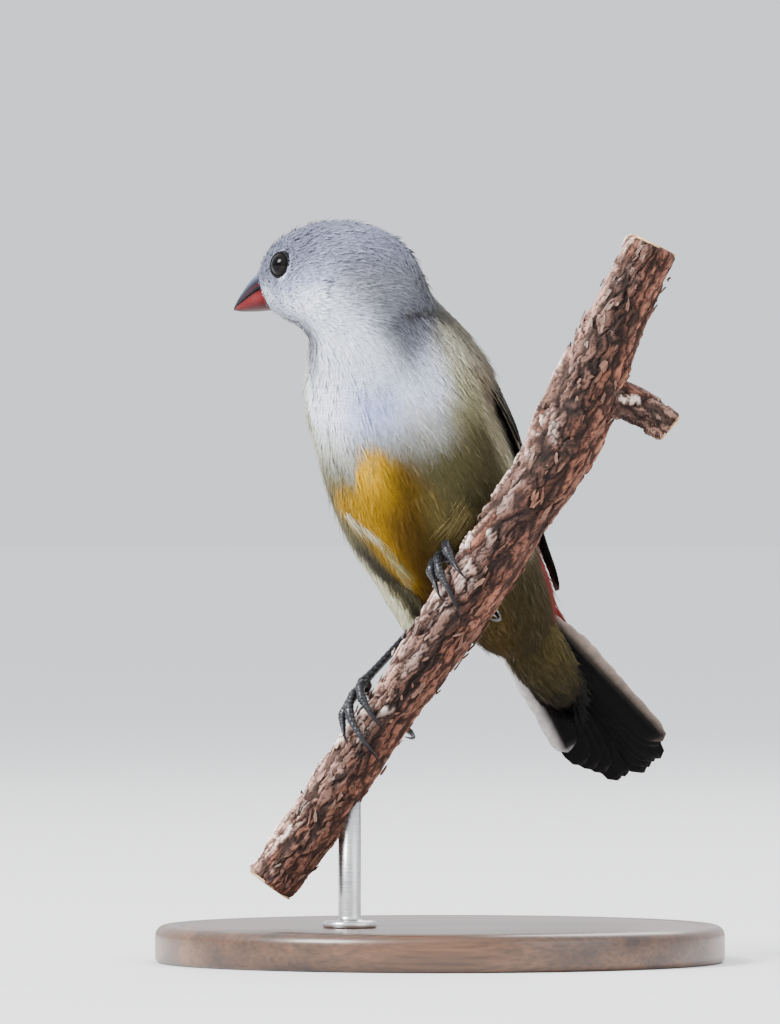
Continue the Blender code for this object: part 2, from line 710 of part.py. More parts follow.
def make_perch(finish):
    """A cut length of twig with the stub of a side twig, its bark a little uneven."""
    rings, sides = 28, 16
    uneven = np.random.default_rng(7)
    reach = np.linspace(0, PERCH_REACH[-1], rings)[:, None]
    angle = np.linspace(0, 360, sides, endpoint=False)[None, :]
    bumps = uneven.uniform(-1, 1, (rings, sides))
    bumps = (bumps + np.roll(bumps, 1, axis=1) + np.vstack([bumps[:1], bumps[:-1]])) / 3
    height = -0.35 + 0.35 * bumps
    stem = lofted("stem", around_perch(reach, angle, height))
    start, bend, end, radius = SIDE_TWIG
    t = np.linspace(0, 1, 9)
    way = [
        (1 - s) ** 2 * np.array([start[0], PERCH_Y, start[1]])
        + 2 * s * (1 - s) * np.array([bend[0], PERCH_Y, bend[1]])
        + s**2 * np.array([end[0], PERCH_Y, end[1]])
        for s in t
    ]
    twig = tube("side_twig", way, radius * (1.25 - 0.25 * t) + 0.12 * uneven.uniform(-1, 1, len(t)), 12)
    knot = ball("knot", np.array([19.8, PERCH_Y, 75.6]), 4.9, detail=2)
    return union([stem, twig, knot], "perch_branch", finish["bark"])


# Legs and feet


def make_thigh(name, top, heel, radii, clearance, finish):
    """The feathered upper leg, a cone that narrows to the heel, cut where it meets the body."""
    t = np.linspace(0, 1, 8)
    path = np.asarray(top) * (1 - t)[:, None] + np.asarray(heel) * t[:, None]
    size = radii[1] + (radii[0] - radii[1]) * (1 - t) ** 0.9
    size[-1] *= 0.8
    leg = tube(name, path, size, 14, finish["pale_olive"])
    carve(leg, clearance)
    return leg


TOES = {  # per foot and toe: places along the twig, angles round it, how high each joint stands, claw tip
    "left": {
        "inner": ((50.6, 50.6, 49.8, 49.0), (-18, 8, 30, 48), (0.4, 0.6, 0.5, 0.0), (48.2, 74)),
        "middle": ((49.4, 48.4, 46.9, 46.0), (-18, 14, 40, 56), (0.4, 0.7, 0.5, 0.0), (43.6, 100)),
        "outer": ((48.6, 47.6, 46.4, 45.6), (-20, 2, 20, 32), (0.4, 0.8, 0.7, 0.1), (44.0, 60)),
        "hind": ((48.6, 47.6, 46.8, 46.4), (-46, -84, -120, -148), (0.3, 0.25, 0.15, 0.2), (45.4, -212)),
    },
    "right": {
        "inner": ((29.0, 28.2, 27.2, 26.5), (-10, 18, 42, 62), (0.5, 0.5, 0.4, 0.0), (25.6, 104)),
        "middle": ((28.3, 26.5, 24.4, 23.1), (-10, 14, 44, 76), (0.5, 0.6, 0.5, 0.0), (21.8, 128)),
        "outer": ((27.6, 25.7, 23.9, 22.8), (-14, 4, 22, 38), (0.3, 0.35, 0.3, 0.05), (21.4, 60)),
        "hind": ((28.2, 27.6, 27.4, 27.2), (-46, -84, -120, -148), (0.3, 0.25, 0.15, 0.2), (26.4, -212)),
    },
}
PALM = {"left": (49.6, -22.0), "right": (28.8, -18.0)}
HEEL = {"left": np.array([5.3, -3.5, 49.9]), "right": np.array([-3.7, -2.8, 44.3])}
THIGH_TOP = {"left": trunk(31.0, 5.2, -7.4), "right": trunk(27.5, -8.6, -4.4)}
THIGH_RADII = {"left": (4.4, 1.35), "right": (4.9, 1.0)}


def foot(side, name, extra, finish=None):
    """The instep, the pad and the four toes as one piece, all `extra` thicker."""
    reach, angle = PALM[side]
    palm, ankle = around_perch(reach, angle, GAP + 0.75), ankle_place(side)
    pieces = [
        ball("palm", palm, 0.95 + extra, detail=1),
        tube("instep", [ankle, (ankle + palm) / 2, palm], np.array([0.66, 0.75, 0.8]) + extra, 8),
        ball("ankle", ankle, 0.75 + extra, detail=1),
    ]
    for toe in TOES[side]:
        path = toe_path(side, toe)
        joints = TOE_RADIUS * (1 + 0.12 * np.cos(np.linspace(0, 6 * math.pi, len(path))))
        joints[-1] *= 0.82
        if extra:
            path[-1] += extra * unit(path[-1] - path[-2])
        pieces.append(tube("toe", path, joints + extra, 7))
    return union(pieces, name, finish)


def ankle_place(side):
    reach, angle = PALM[side]
    return around_perch(reach + 0.3, angle - 6, GAP + 1.5)


def toe_path(side, toe):
    """The middle line of a toe, from the pad of the foot to the joint before the claw."""
    places, angles, lifts, _ = TOES[side][toe]
    knots, t = np.linspace(0, 1, len(places)), np.linspace(0, 1, 10)
    path = around_perch(
        along(t, knots, places), along(t, knots, angles), GAP + TOE_RADIUS + 0.12 + along(t, knots, lifts)
    )
    reach, angle = PALM[side]
    return np.concatenate([[around_perch(reach, angle, GAP + 0.75)], path])


def make_leg(side, torso_clearance, finish):
    """Thigh, bare shank, and a foot of three front toes and a hind toe round the twig, with claws."""
    foot(side, "foot_" + side, 0.0, finish["leg"])
    foot_clearance = foot(side, "foot_clearance", GAP + 0.03)
    ankle, heel = ankle_place(side), HEEL[side]
    thigh = make_thigh("thigh_" + side, THIGH_TOP[side], heel, THIGH_RADII[side], torso_clearance, finish)
    t = np.linspace(0, 1, 7)
    path = heel * (1 - t)[:, None] + ankle * t[:, None]
    swell = 1 + 0.35 * (2 * t - 1) ** 4
    shank = tube("tarsus_" + side, path, TARSUS_RADIUS * swell, 9, finish["leg"])
    beyond = heel + unit(heel - ankle) * (GAP + 0.1)
    wide = TARSUS_RADIUS * np.append(1.35, swell) + GAP + 0.03
    around = tube("shank_clearance", np.concatenate([[beyond], path]), wide, 9)
    carve(thigh, around)
    carve(shank, torso_clearance)
    carve(shank, foot_clearance)
    for toe in TOES[side]:
        make_claw(side, toe, foot_clearance, finish)
    bpy.data.objects.remove(around)
    bpy.data.objects.remove(foot_clearance)


def make_claw(side, toe, foot_clearance, finish):
    """A curved, pointed claw that starts just beyond the toe's end and comes down on the bark."""
    places, angles, _, (tip_place, tip_angle) = TOES[side][toe]
    path = toe_path(side, toe)
    onward = unit(path[-1] - path[-2])
    start = path[-1] - 0.2 * onward
    tip = around_perch(tip_place, tip_angle, GAP + 0.12)
    over = around_perch(
        (places[-1] + tip_place) / 2, (angles[-1] + tip_angle) / 2, GAP + 1.1
    )
    t = np.linspace(0, 1, 7)[:, None]
    along_claw = (1 - t) ** 3 * start + 3 * t * (1 - t) ** 2 * (start + 1.3 * onward)
    along_claw += 3 * t**2 * (1 - t) * over + t**3 * tip
    claw = tube(f"claw_{side}_{toe}", along_claw, 0.36 * (1 - t[:, 0]) ** 0.7 + 0.05, 6, finish["claw"])
    carve(claw, foot_clearance)


# Stand


BASE_RADIUS, BASE_HEIGHT = 38.0, 5.0
ROD_RADIUS, ROD_X = 1.5, -12.0


def make_stand(branch, finish):
    """A turned wooden disc and one steel rod up to the twig."""
    edge = 0.8
    profile = (
        (BASE_RADIUS - edge, 0.0),
        (BASE_RADIUS, edge),
        (BASE_RADIUS, BASE_HEIGHT - 1.6),
        (BASE_RADIUS - 0.5, BASE_HEIGHT - 0.7),
        (BASE_RADIUS - 1.5, BASE_HEIGHT),
    )
    turn = np.linspace(0, 2 * math.pi, 40, endpoint=False)
    circle = np.stack([np.cos(turn), np.sin(turn), 0 * turn], axis=1)
    lofted("stand_base", [radius * circle + (0, 0, height) for radius, height in profile], finish["wood"])
    spot = np.interp(ROD_X, PERCH_LINE[:, 0], PERCH_LINE[:, 1])
    turn = np.linspace(0, 2 * math.pi, 16, endpoint=False)
    circle = ROD_RADIUS * np.stack([np.cos(turn), np.sin(turn), 0 * turn], axis=1)
    rod = lofted(
        "stand_rod",
        [circle + (ROD_X, PERCH_Y, height) for height in (BASE_HEIGHT + GAP, 12.0, spot)],
        finish["steel"],
    )
    reach = np.linspace(0, PERCH_REACH[-1], 34)[:, None]
    angle = np.linspace(0, 360, 18, endpoint=False)[None, :]
    cutter = lofted("twig_clearance", around_perch(reach, angle, 0.35 + 0 * reach * angle))
    carve(rod, cutter)
    bpy.data.objects.remove(cutter)


def main():
    clear_scene()
    finish = {
        "grey": material("grey_plumage", (0.30, 0.32, 0.37), 0.9),
        "pale_grey": material("pale_grey_plumage", (0.52, 0.54, 0.60), 0.9),
        "yellow": material("yellow_plumage", (0.48, 0.33, 0.08), 0.9),
        "pale_olive": material("pale_olive_plumage", (0.42, 0.40, 0.30), 0.9),
        "olive": material("olive_plumage", (0.24, 0.21, 0.10), 0.9),
        "brown": material("brown_flight_feathers", (0.10, 0.085, 0.07), 0.7),
        "red": material("red_plumage", (0.45, 0.08, 0.03), 0.8),
        "black": material("black_tail_feathers", (0.03, 0.03, 0.032), 0.6),
        "eye": material("dark_eye", (0.01, 0.008, 0.008), 0.05),
        "bill_upper": material("black_bill", (0.05, 0.055, 0.07), 0.35),
        "bill_lower": material("red_bill", (0.50, 0.03, 0.03), 0.35),
        "leg": material("dark_leg_skin", (0.05, 0.05, 0.055), 0.6),
        "claw": material("dark_claw", (0.04, 0.04, 0.045), 0.4),
        "bark": material("pine_bark", (0.22, 0.13, 0.10), 0.95),
        "wood": material("stained_wood", (0.09, 0.05, 0.03), 0.5),
        "steel": material("steel", (0.55, 0.55, 0.56), 0.35, 1.0),
    }
    skull, _, _ = make_body(finish)
    clearance = body_clearance()
    make_eyes(skull, finish)
    make_bill(clearance, finish)
    for name, side in (("wing_left", 1), ("wing_right", -1)):
        make_wing(name, side, clearance, finish)
    make_tail(clearance, finish)
    branch = make_perch(finish)
    for side in ("left", "right"):
        make_leg(side, clearance, finish)
    make_stand(branch, finish)
    bpy.data.objects.remove(clearance)


main()
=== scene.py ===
"""Looks of the yellow-bellied waxbill that grips a cut pine twig on a small turned base.

Lengths are worked out in millimetres and put into the meshes in metres. X runs to the right, Y away from the
camera and Z up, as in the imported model.
"""

import json
import math

import bpy
import numpy as np
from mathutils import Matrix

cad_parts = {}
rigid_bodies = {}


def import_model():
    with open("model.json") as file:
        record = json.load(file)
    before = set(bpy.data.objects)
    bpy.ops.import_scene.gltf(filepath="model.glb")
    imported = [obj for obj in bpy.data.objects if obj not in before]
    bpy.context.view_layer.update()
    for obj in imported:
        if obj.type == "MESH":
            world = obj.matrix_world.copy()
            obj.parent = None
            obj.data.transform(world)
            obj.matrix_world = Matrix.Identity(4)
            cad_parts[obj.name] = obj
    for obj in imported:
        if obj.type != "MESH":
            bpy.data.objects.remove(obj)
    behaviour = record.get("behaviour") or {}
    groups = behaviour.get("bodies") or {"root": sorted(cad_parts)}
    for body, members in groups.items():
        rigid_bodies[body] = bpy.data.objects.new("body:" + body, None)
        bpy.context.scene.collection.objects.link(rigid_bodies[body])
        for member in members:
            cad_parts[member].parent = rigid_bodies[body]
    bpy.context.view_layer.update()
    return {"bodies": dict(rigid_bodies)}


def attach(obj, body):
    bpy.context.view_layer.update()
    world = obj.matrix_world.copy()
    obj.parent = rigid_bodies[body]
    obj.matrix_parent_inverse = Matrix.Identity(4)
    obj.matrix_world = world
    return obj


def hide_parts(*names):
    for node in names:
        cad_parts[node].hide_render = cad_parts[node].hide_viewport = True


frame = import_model()
BODY = next(iter(frame["bodies"]))

# The body under the feathers. A waxbill's trunk, neck and head run into one another under the plumage, so the
# skin is one surface, blended from nine ellipsoids: breast, belly, vent, tail root, neck, nape, cranium, brow
# and face. It lies a feather's depth inside the outline, and it holds the grey, white and yellow of the coat.

NECK_ROOT = np.array([-8.3, -7.6, 83.6])
HEAD_CENTRE = np.array([-13.6, -10.0, 92.0])
COAT_DEPTH = 0.55


def unit(v):
    """Vectors of length one along the last axis."""
    v = np.asarray(v, float)
    return v / np.linalg.norm(v, axis=-1, keepdims=True)


def body_axes(slope, lean, roll):
    """Rows aft, left and dorsal. Aft slopes down to the right by `slope` degrees and away by `lean`; the
    ventral side faces the camera, turned round by `roll`."""
    slope, lean, roll = np.radians([slope, lean, roll])
    aft = np.array([math.cos(slope) * math.cos(lean), math.sin(lean), -math.sin(slope) * math.cos(lean)])
    near = np.array([-math.sin(roll), -math.cos(roll), 0.0])
    ventral = unit(near - aft * (near @ aft))
    return np.stack([aft, np.cross(-aft, ventral), -ventral])


def facing(turn, rise):
    """The direction of a gaze turned away from the left of the picture by `turn` and up by `rise` degrees."""
    turn, rise = np.radians([turn, rise])
    return np.array([-math.cos(rise) * math.cos(turn), math.cos(rise) * math.sin(turn), math.sin(rise)])


TRUNK = body_axes(66.0, 26.0, 22.0)
TAIL = body_axes(55.0, 30.0, 16.0)
FORWARD = facing(38.0, -8.0)
UPWARD = unit(np.array([0.0, 0.0, 1.0]) - FORWARD * FORWARD[2])
HEAD = np.stack([FORWARD, np.cross(UPWARD, FORWARD), UPWARD])


def trunk(aft, left=0.0, dorsal=0.0):
    """A point in the trunk's own directions, from the neck root."""
    return NECK_ROOT + np.array([aft, left, dorsal]) @ TRUNK


def head(forward, left=0.0, up=0.0):
    """A point in the head's own directions, from the head's centre."""
    return HEAD_CENTRE + np.array([forward, left, up]) @ HEAD


BODY_FORMS = (
    (trunk(13.5, -1.3, -0.8), TRUNK, (19.0, 11.4, 13.0)),
    (trunk(24.0, -2.1, -1.3), TRUNK, (18.5, 12.0, 13.4)),
    (trunk(38.0, 0.3, 0.4), TRUNK, (12.5, 7.6, 7.9)),
    (trunk(46.5, 1.6, 1.8), TRUNK, (9.0, 4.5, 4.0)),
    (np.array([-8.6, -9.2, 84.8]), TRUNK, (11.0, 8.3, 9.0)),
    (np.array([-10.6, -10.9, 90.0]), HEAD, (7.6, 6.6, 6.6)),
    (head(0.0, 0, -0.6), HEAD, (8.3, 7.1, 6.55)),
    (head(4.4, 0, 0.55), HEAD, (7.1, 5.8, 5.5)),
    (head(7.9, 0, -0.6), HEAD, (4.9, 2.3, 3.6)),
)
BODY_BLEND = 4.0


def body_field(points):
    """About the distance outside the body. Each ellipsoid gives k(k-1)/|q/s^2|, where k is the length of q/s,
    and the next one joins by a smooth minimum that reaches BODY_BLEND."""
    total = None
    for centre, axes, half_sizes in BODY_FORMS:
        local = (points - centre) @ axes.T
        half_sizes = np.array(half_sizes)
        scaled = np.linalg.norm(local / half_sizes, axis=-1)
        steepness = np.linalg.norm(local / half_sizes**2, axis=-1)
        distance = scaled * (scaled - 1) / np.maximum(steepness, 1e-9)
        if total is None:
            total = distance
        else:
            near = np.maximum(BODY_BLEND - np.abs(total - distance), 0) / BODY_BLEND
            total = np.minimum(total, distance) - near * near * BODY_BLEND / 4
    return total


def body_slope(points, step=0.05):
    """The field's gradient by central differences: it points straight out of the body."""
    steps = np.eye(3) * step
    return np.stack([(body_field(points + e) - body_field(points - e)) / (2 * step) for e in steps], axis=-1)


def onto_body(points, level, rounds):
    """Points moved along the slope until the field there equals `level`."""
    for _ in range(rounds):
        slope = body_slope(points)
        steepness = np.maximum(np.sum(slope * slope, axis=-1), 0.05)
        points = points - ((body_field(points) - level) / steepness)[..., None] * slope
    return points


# The middle line of the body's rings, from the bill to the tail root: a place, the way out of the ring there
# towards the head, and the dorsal side.
SPINE = np.array(
    [
        (*head(11.8, 0, -0.9), *facing(38, -10), *UPWARD),
        (*head(9.5, 0, -0.9), *facing(38, -5), *UPWARD),
        (*head(5.4, 0, -0.5), *facing(37, 8), *UPWARD),
        (*head(1.6, 0, -0.2), *facing(33, 23), *UPWARD),
        (-12.1, -10.8, 91.3, *facing(21, 39), *(0.85 * UPWARD + 0.15 * TRUNK[2])),
        (-10.3, -10.6, 89.3, *facing(0, 49), *(0.6 * UPWARD + 0.4 * TRUNK[2])),
        (-9.1, -9.0, 86.5, *facing(-28, 54), *(0.25 * UPWARD + 0.75 * TRUNK[2])),
    ]
    + [
        (*trunk(aft, left, dorsal), *-TRUNK[0], *TRUNK[2])
        for aft, left, dorsal in ((2, 0, 0), (11, -0.3, -0.3), (20, -0.5, -0.5), (30, -0.2, -0.1), (38, 0.3, 0.5))
        + ((45, 0.9, 1.1), (51, 1.4, 1.6))
    ]
)


def along(x, knots, values):
    """A smooth curve through values at uneven knots: cubic between neighbours, with their mean slope at each."""
    knots, values = np.asarray(knots, float), np.asarray(values, float)
    slopes = np.gradient(values, knots, axis=0)
    x = np.clip(np.atleast_1d(np.asarray(x, float)), knots[0], knots[-1])
    i = np.clip(np.searchsorted(knots, x, side="right") - 1, 0, len(knots) - 2)
    width = knots[i + 1] - knots[i]
    t = (x - knots[i]) / width
    if values.ndim > 1:
        t, width = t[..., None], width[..., None]
    return (
        (2 * t**3 - 3 * t**2 + 1) * values[i]
        + (t**3 - 2 * t**2 + t) * width * slopes[i]
        + (3 * t**2 - 2 * t**3) * values[i + 1]
        + (t**3 - t**2) * width * slopes[i + 1]
    )


def square_to(v, normal):
    """Directions of length one, turned to lie at right angles to the normals."""
    return unit(v - normal * np.sum(v * normal, axis=-1, keepdims=True))


def around(sides):
    """Angles evenly round a circle, in radians."""
    return np.linspace(0, 2 * math.pi, sides, endpoint=False)


def body_grid(rings, sides, level):
    """Rings of points on the body from the bill to the tail root. Rays from 2.4 mm round the spine meet the
    body, and 150 rounds of averaging with the neighbours, each with a step back onto it, even them out."""
    reach = np.concatenate([[0], np.cumsum(np.linalg.norm(np.diff(SPINE[:, :3], axis=0), axis=1))])
    line = along(np.linspace(0, reach[-1], rings), reach, SPINE)
    centre, normal = line[:, :3], unit(line[:, 3:6])
    dorsal = square_to(line[:, 6:], normal)
    left = np.cross(dorsal, normal)
    angle = around(sides)[None, :, None]
    ray = np.sin(angle) * left[:, None] + np.cos(angle) * dorsal[:, None]
    points = onto_body(centre[:, None] + 2.4 * ray, level, 25)
    for _ in range(150):
        beside = np.roll(points, 1, axis=1) + np.roll(points, -1, axis=1)
        evened = points / 2 + beside / 4
        evened[1:-1] = (points[:-2] + points[2:] + beside[1:-1]) / 4
        for end in (0, -1):
            evened[end] -= ((evened[end] - centre[end]) @ normal[end])[:, None] * normal[end]
        points = onto_body(evened, level, 1)
    return points


def finer(points, times):
    """The grid with `times` as many steps both ways, straight between the old points."""
    rings, sides = points.shape[:2]
    at = np.linspace(0, rings - 1, (rings - 1) * times + 1)
    i = np.minimum(at.astype(int), rings - 2)
    points = points[i] + (at - i)[:, None, None] * (points[i + 1] - points[i])
    at = np.arange(sides * times) / times
    j = at.astype(int)
    return points[:, j] + (at - j)[None, :, None] * (points[:, (j + 1) % sides] - points[:, j])


def smooth(x, low, high):
    """0 below `low`, 1 above `high`, and an S-shaped rise between."""
    t = np.clip((x - low) / (high - low), 0, 1)
    return t * t * (3 - 2 * t)


def bell(x):
    """1 in the middle and nearly 0 beyond 2 on both sides: e to the power of minus the square."""
    return np.exp(-(x**2))


def linear(colour):
    """A hex colour, as sRGB, turned into linear red, green and blue."""
    value = np.array([int(colour[i : i + 2], 16) for i in (1, 3, 5)]) / 255
    return np.where(value <= 0.04045, value / 12.92, ((value + 0.055) / 1.055) ** 2.4)


def waves(points, length, seed):
    """Soft unevenness between -1 and 1: a sum of six sines in directions drawn at random, `length` mm long."""
    draw = np.random.default_rng(seed)
    total = 0
    for _ in range(6):
        direction = unit(draw.normal(size=3)) * draw.uniform(0.7, 1.5) * 2 * math.pi / length
        total = total + np.sin(points @ direction + draw.uniform(0, 2 * math.pi))
    return total / 6


def blend(weight, low, high):
    """One colour where the weight is 0, the other where it is 1. Each is linear light or a hex colour."""
    low, high = (linear(colour) if isinstance(colour, str) else colour for colour in (low, high))
    return low + weight[..., None] * (high - low)


EYE_PLACES = {"left": (4.15, 5.6, 1.2), "right": (4.3, -5.9, 1.2)}
EYE_FACING = unit([0.15, 0.97, 0.14])
EYE_RADIUS = 1.95


def gaze(name):
    """The direction that an eye looks in."""
    return (EYE_FACING * (1.0, 1.0 if name == "left" else -1.0, 1.0)) @ HEAD


def from_eye(points, name):
    """The way from an eye's centre to points, how far it leads along the line of sight, and how far off it."""
    away = points - head(*EYE_PLACES[name])
    ahead = away @ gaze(name)
    return away, ahead, np.linalg.norm(away - ahead[..., None] * gaze(name), axis=-1)


def aft_of(points):
    """How far aft of the neck root points lie."""
    return (points - NECK_ROOT) @ TRUNK[0]


def round_trunk(points):
    """How far points lie aft of the neck root, to the left and to the back of the trunk's middle line, and
    their turn round it from the belly to the left, in degrees."""
    aft, left, dorsal = np.moveaxis((points - NECK_ROOT) @ TRUNK.T, -1, 0)
    return aft, left, dorsal, np.degrees(np.arctan2(left, -dorsal))


PICTURE_LEFT, PICTURE_FOOT, PICTURE_SCALE = 440, 962, 7.5  # where X and Z are 0, and its pixels to a millimetre


def from_picture(across, down):
    """X and Z of a point that is given from the picture's left and top edge."""
    return (across - PICTURE_LEFT) / PICTURE_SCALE, (PICTURE_FOOT - down) / PICTURE_SCALE


def drawn(points, *corners):
    """How far the places on the body's near side lie from a line over it, in millimetres. The line's corners
    are given from the picture's left and top edge. The far side is out of reach."""
    flat = points[..., [0, 2]]
    corners = [np.array(from_picture(*corner)) for corner in corners]
    nearest = np.full(flat.shape[:-1], 99.0)
    for a, b in zip(corners[:-1], corners[1:]):
        t = np.clip((flat - a) @ (b - a) / ((b - a) @ (b - a)), 0, 1)
        nearest = np.minimum(nearest, np.linalg.norm(flat - a - t[..., None] * (b - a), axis=-1))
    axis = NECK_ROOT[1] + aft_of(points) * TRUNK[0, 1]
    return nearest + 50 * (points[..., 1] > axis + 2.5)


def plumage(points):
    """The coat's colour at places on the body, in linear light: a grey cap and nape, paler cheeks, a white
    throat and breast, an amber belly with olive grey flanks, a streaked mantle, olive buff under the tail and
    a red rump. Angles go round the trunk from the belly, and are positive on the bird's left."""
    forward, _, up = np.moveaxis((points - HEAD_CENTRE) @ HEAD.T, -1, 0)
    aft, _, _, turn = round_trunk(points)
    broad, soft, fine = waves(points, 9.0, 2), waves(points, 4.0, 3), waves(points, 1.4, 4)
    ragged = 0.8 * soft + 0.5 * fine
    # Head: the cap runs from the bill over the eye to the nape, and the throat is nearly white.
    cap = smooth(up + 0.16 * forward + 0.5 * ragged, -3.0, 2.6)
    face = blend(cap, "#a0a5c0", "#6a6d80")
    face = face * (1 - 0.22 * smooth(forward, 4, 8) * smooth(up, 0, 3))[..., None]
    throat = smooth(-up - 0.05 * forward + 0.6 * ragged, 1.0, 4.2)
    face = blend(throat, face, "#dbe1ee")
    rear = blend(smooth(up, -3, 4), "#696a73", "#7c7d92")
    face = blend(0.95 * smooth(-forward + 0.35 * up + 1.2 * ragged, 0.0, 7.0), face, rear)
    gape = bell(np.hypot((forward - 9.4) / 1.6, (up + 1.9) / 1.3))
    face = blend(0.9 * gape, face, "#e6ebf6")
    lores = bell(np.hypot((forward - 8.6) / 2.0, (up - 0.5) / 1.2))
    face = blend(0.55 * lores, face, "#4f525e")
    ear = bell(drawn(points, (330, 284), (327, 299)) / 0.28)
    face = blend(0.7 * ear, face, "#3a3c48")
    # Broken ring of white feathers round the eye, behind and below it, and a fainter arc over its front.
    for name in EYE_PLACES:
        away, ahead, off = from_eye(points, name)
        facing_eye = smooth(ahead, -0.5, 0.3)
        ring = smooth(off, 1.72, 1.86) * (1 - smooth(off, 1.98, 2.22)) * facing_eye
        behind = smooth(-(away @ FORWARD) - 0.75 * (away @ UPWARD), 0.5, 1.2)
        above = smooth(0.8 * (away @ FORWARD) + 0.8 * (away @ UPWARD), 0.9, 1.8)
        face = blend(np.clip(ring * (0.85 * behind + 0.3 * above), 0, 1), face, "#e6e9f2")
        socket = bell((off - 2.1) / 0.5) * facing_eye
        face = blend(0.5 * socket * (1 - behind) * (1 - above), face, "#3a3b46")
    # Neck: white in front, a band of painted shade up each side under the edge of the head's feathers, and a grey nape.
    side = np.abs(turn + 9 + 6 * soft)
    neck = blend(smooth(side, 22, 50), "#dbe1ee", "#6c6e78")
    neck = blend(smooth(side, 70, 100), neck, "#4d4e52")
    # Painted shade: each side of the neck is darkened under the collar that the head's feathers make.
    neck_side_shade = bell((aft + 4.4) / 2.4) * smooth(side, 20, 48) * (1 - smooth(side, 90, 118))
    neck = blend(0.7 * neck_side_shade, neck, "#55565f")
    # Trunk: white breast, olive grey flanks, a brownish mantle.
    breast = blend(smooth(turn + 5 * soft, -34, 0), "#e6eaf6", "#a8b3dc")
    # Painted light: the right side of the breast is painted lighter to stand in for light there.
    breast = blend(0.8 * smooth(turn + 4 * soft, 6, 30), breast, "#dfe5f8")
    breast = blend(smooth(side + 0.9 * aft, 62, 88), breast, "#c2c0a8")
    breast = blend(smooth(aft + soft, 4, 11) * (0.6 + 0.3 * smooth(side, 44, 66)), breast, "#a6a37e")
    flank = blend(smooth(side, 36, 66), "#554f33", "#5b5439")
    # Partly painted light: the flank's edge beside the twig is paler, and painted lighter still where the twig shades
    # it.
    flank = blend(smooth(side, 74, 92), flank, "#a0977a")
    body = blend(smooth(aft + 1.8 * soft + fine, 6.0, 15.5), breast, flank)
    body = blend(smooth(side + 5 * fine, 90, 110), body, "#5e5a4c")
    rosy = bell(drawn(points, (474, 368), (492, 404)) / 1.3)
    body = blend(0.55 * rosy, body, "#6a544a")
    # The amber patch: its upper edge, then its right and left edges, in millimetres and degrees.
    top = np.interp(turn, (-60, -45, -30, -24, -17, -6, 9, 27, 39, 55), (17, 14, 13, 12, 8.0, 8.2, 10.0, 11.5, 14, 20))
    right = np.interp(aft, (0, 17, 21, 24.6, 26, 28.5, 34), (36, 36, 38, 35, 30, 22, 14))
    left_edge = np.interp(aft, (10, 18, 19, 20.6, 24.9, 30.8, 36), (56, 53, 44, 36, 27, 21, 16))
    across, down = PICTURE_LEFT + PICTURE_SCALE * points[..., 0], PICTURE_FOOT - PICTURE_SCALE * points[..., 2]
    twig_side = np.interp(down, (430, 455, 480, 520, 560, 600), (398, 412, 424, 438, 446, 440))
    past = (across - twig_side) / PICTURE_SCALE
    amber = smooth(aft + 1.2 * ragged, top - 0.4, top + 3.2)
    amber = amber * (1 - smooth(turn + 9 * ragged, right - 16, right + 10))
    amber = amber * (1 - smooth(past + 0.9 * ragged, -2.4, 1.6))
    amber = amber * (1 - smooth(-turn + 5 * ragged, left_edge - 3, left_edge + 4)) * (1 - smooth(aft + soft, 32, 38))
    # Partly painted shade: the gold darkens lower down and towards the right, where the belly turns from the light.
    gold = blend(smooth(aft + 2 * soft, 11, 24), "#b08608", "#67490c")
    inward = (across - np.interp(down, (440, 480, 520, 560, 600), (383, 383, 390, 405, 421))) / PICTURE_SCALE
    gold = blend(0.85 * smooth(inward + 0.6 * ragged, -1.4, 3.0), gold, "#44310d")
    # Painted light: a brighter band along the lit left side of the amber.
    glow = drawn(points, (352, 470), (360, 500), (384, 545), (408, 580)) + 0.3 * soft
    gold = blend(0.6 * (1 - smooth(glow, 0.2, 2.2)), gold, "#a98006")
    # Painted highlight: a bright yellow streak near the top of the amber.
    painted_highlight = drawn(points, (372, 448), (366, 476)) + 0.4 * soft
    gold = blend(0.7 * (1 - smooth(painted_highlight, 0.2, 2.3)), gold, "#e6ae06")
    body = blend(0.97 * amber, body, gold)
    olive = drawn(points, (430, 500), (446, 560)) + 0.5 * soft
    body = blend(0.5 * (1 - smooth(olive, 0.5, 3.0)), body, "#6b5c30")
    # Along the right flank: pale streaks, a dusky hollow under them of dark feathers with painted shadow, and the cream
    # edge of the thigh.
    streaks = 1 - smooth(drawn(points, (347, 511), (372, 530), (398, 562), (409, 584)) + 0.35 * fine, 0.02, 0.42)
    # Partly painted shadow: the hollow is dark feathers darkened further as shade between the belly and the thigh.
    hollow = 1 - smooth(drawn(points, (358, 541), (377, 560), (400, 583), (420, 604)) + 0.2 * fine, 0.4, 0.95)
    edge = 1 - smooth(drawn(points, (352, 548), (374, 584), (398, 610), (420, 634)) + 0.2 * fine, 0.9, 1.6)
    body = blend(edge, body, "#aaa88c")
    body = blend(0.95 * hollow, body, "#2f2b20")
    body = blend(0.65 * streaks * (1 - 0.9 * hollow), body, "#a89f78")
    notch = bell(drawn(points, (466, 492), (463, 509)) / 0.35)
    body = blend(0.6 * notch, body, "#2a2820")
    vent = smooth(aft + soft, 31, 38)
    body = blend(vent, body, blend(smooth(side, 10, 60), "#4a3b18", "#352c18"))
    rump = smooth(aft + 1.2 * soft, 35, 39) * smooth(side + 4 * fine, 96, 118)
    body = blend(rump, body, "#651510")
    body = blend(smooth(aft + 1.2 * soft, -1.5, 4.5), neck, body)
    # Painted shadow: a dark line under the edge of the head's feathers, where they lie over the neck.
    collar_shadow = bell(drawn(points, (404, 316), (426, 312), (452, 327)) / 0.7)
    body = blend(0.75 * collar_shadow, body, "#2e2c2a")
    body = blend(smooth(-(aft + 0.6 * soft), 4.5, 9.5), body, face)
    return body * (1 + 0.05 * broad + 0.05 * soft)[..., None]


BILL_ROOT = head(10.5, 0, -0.9)


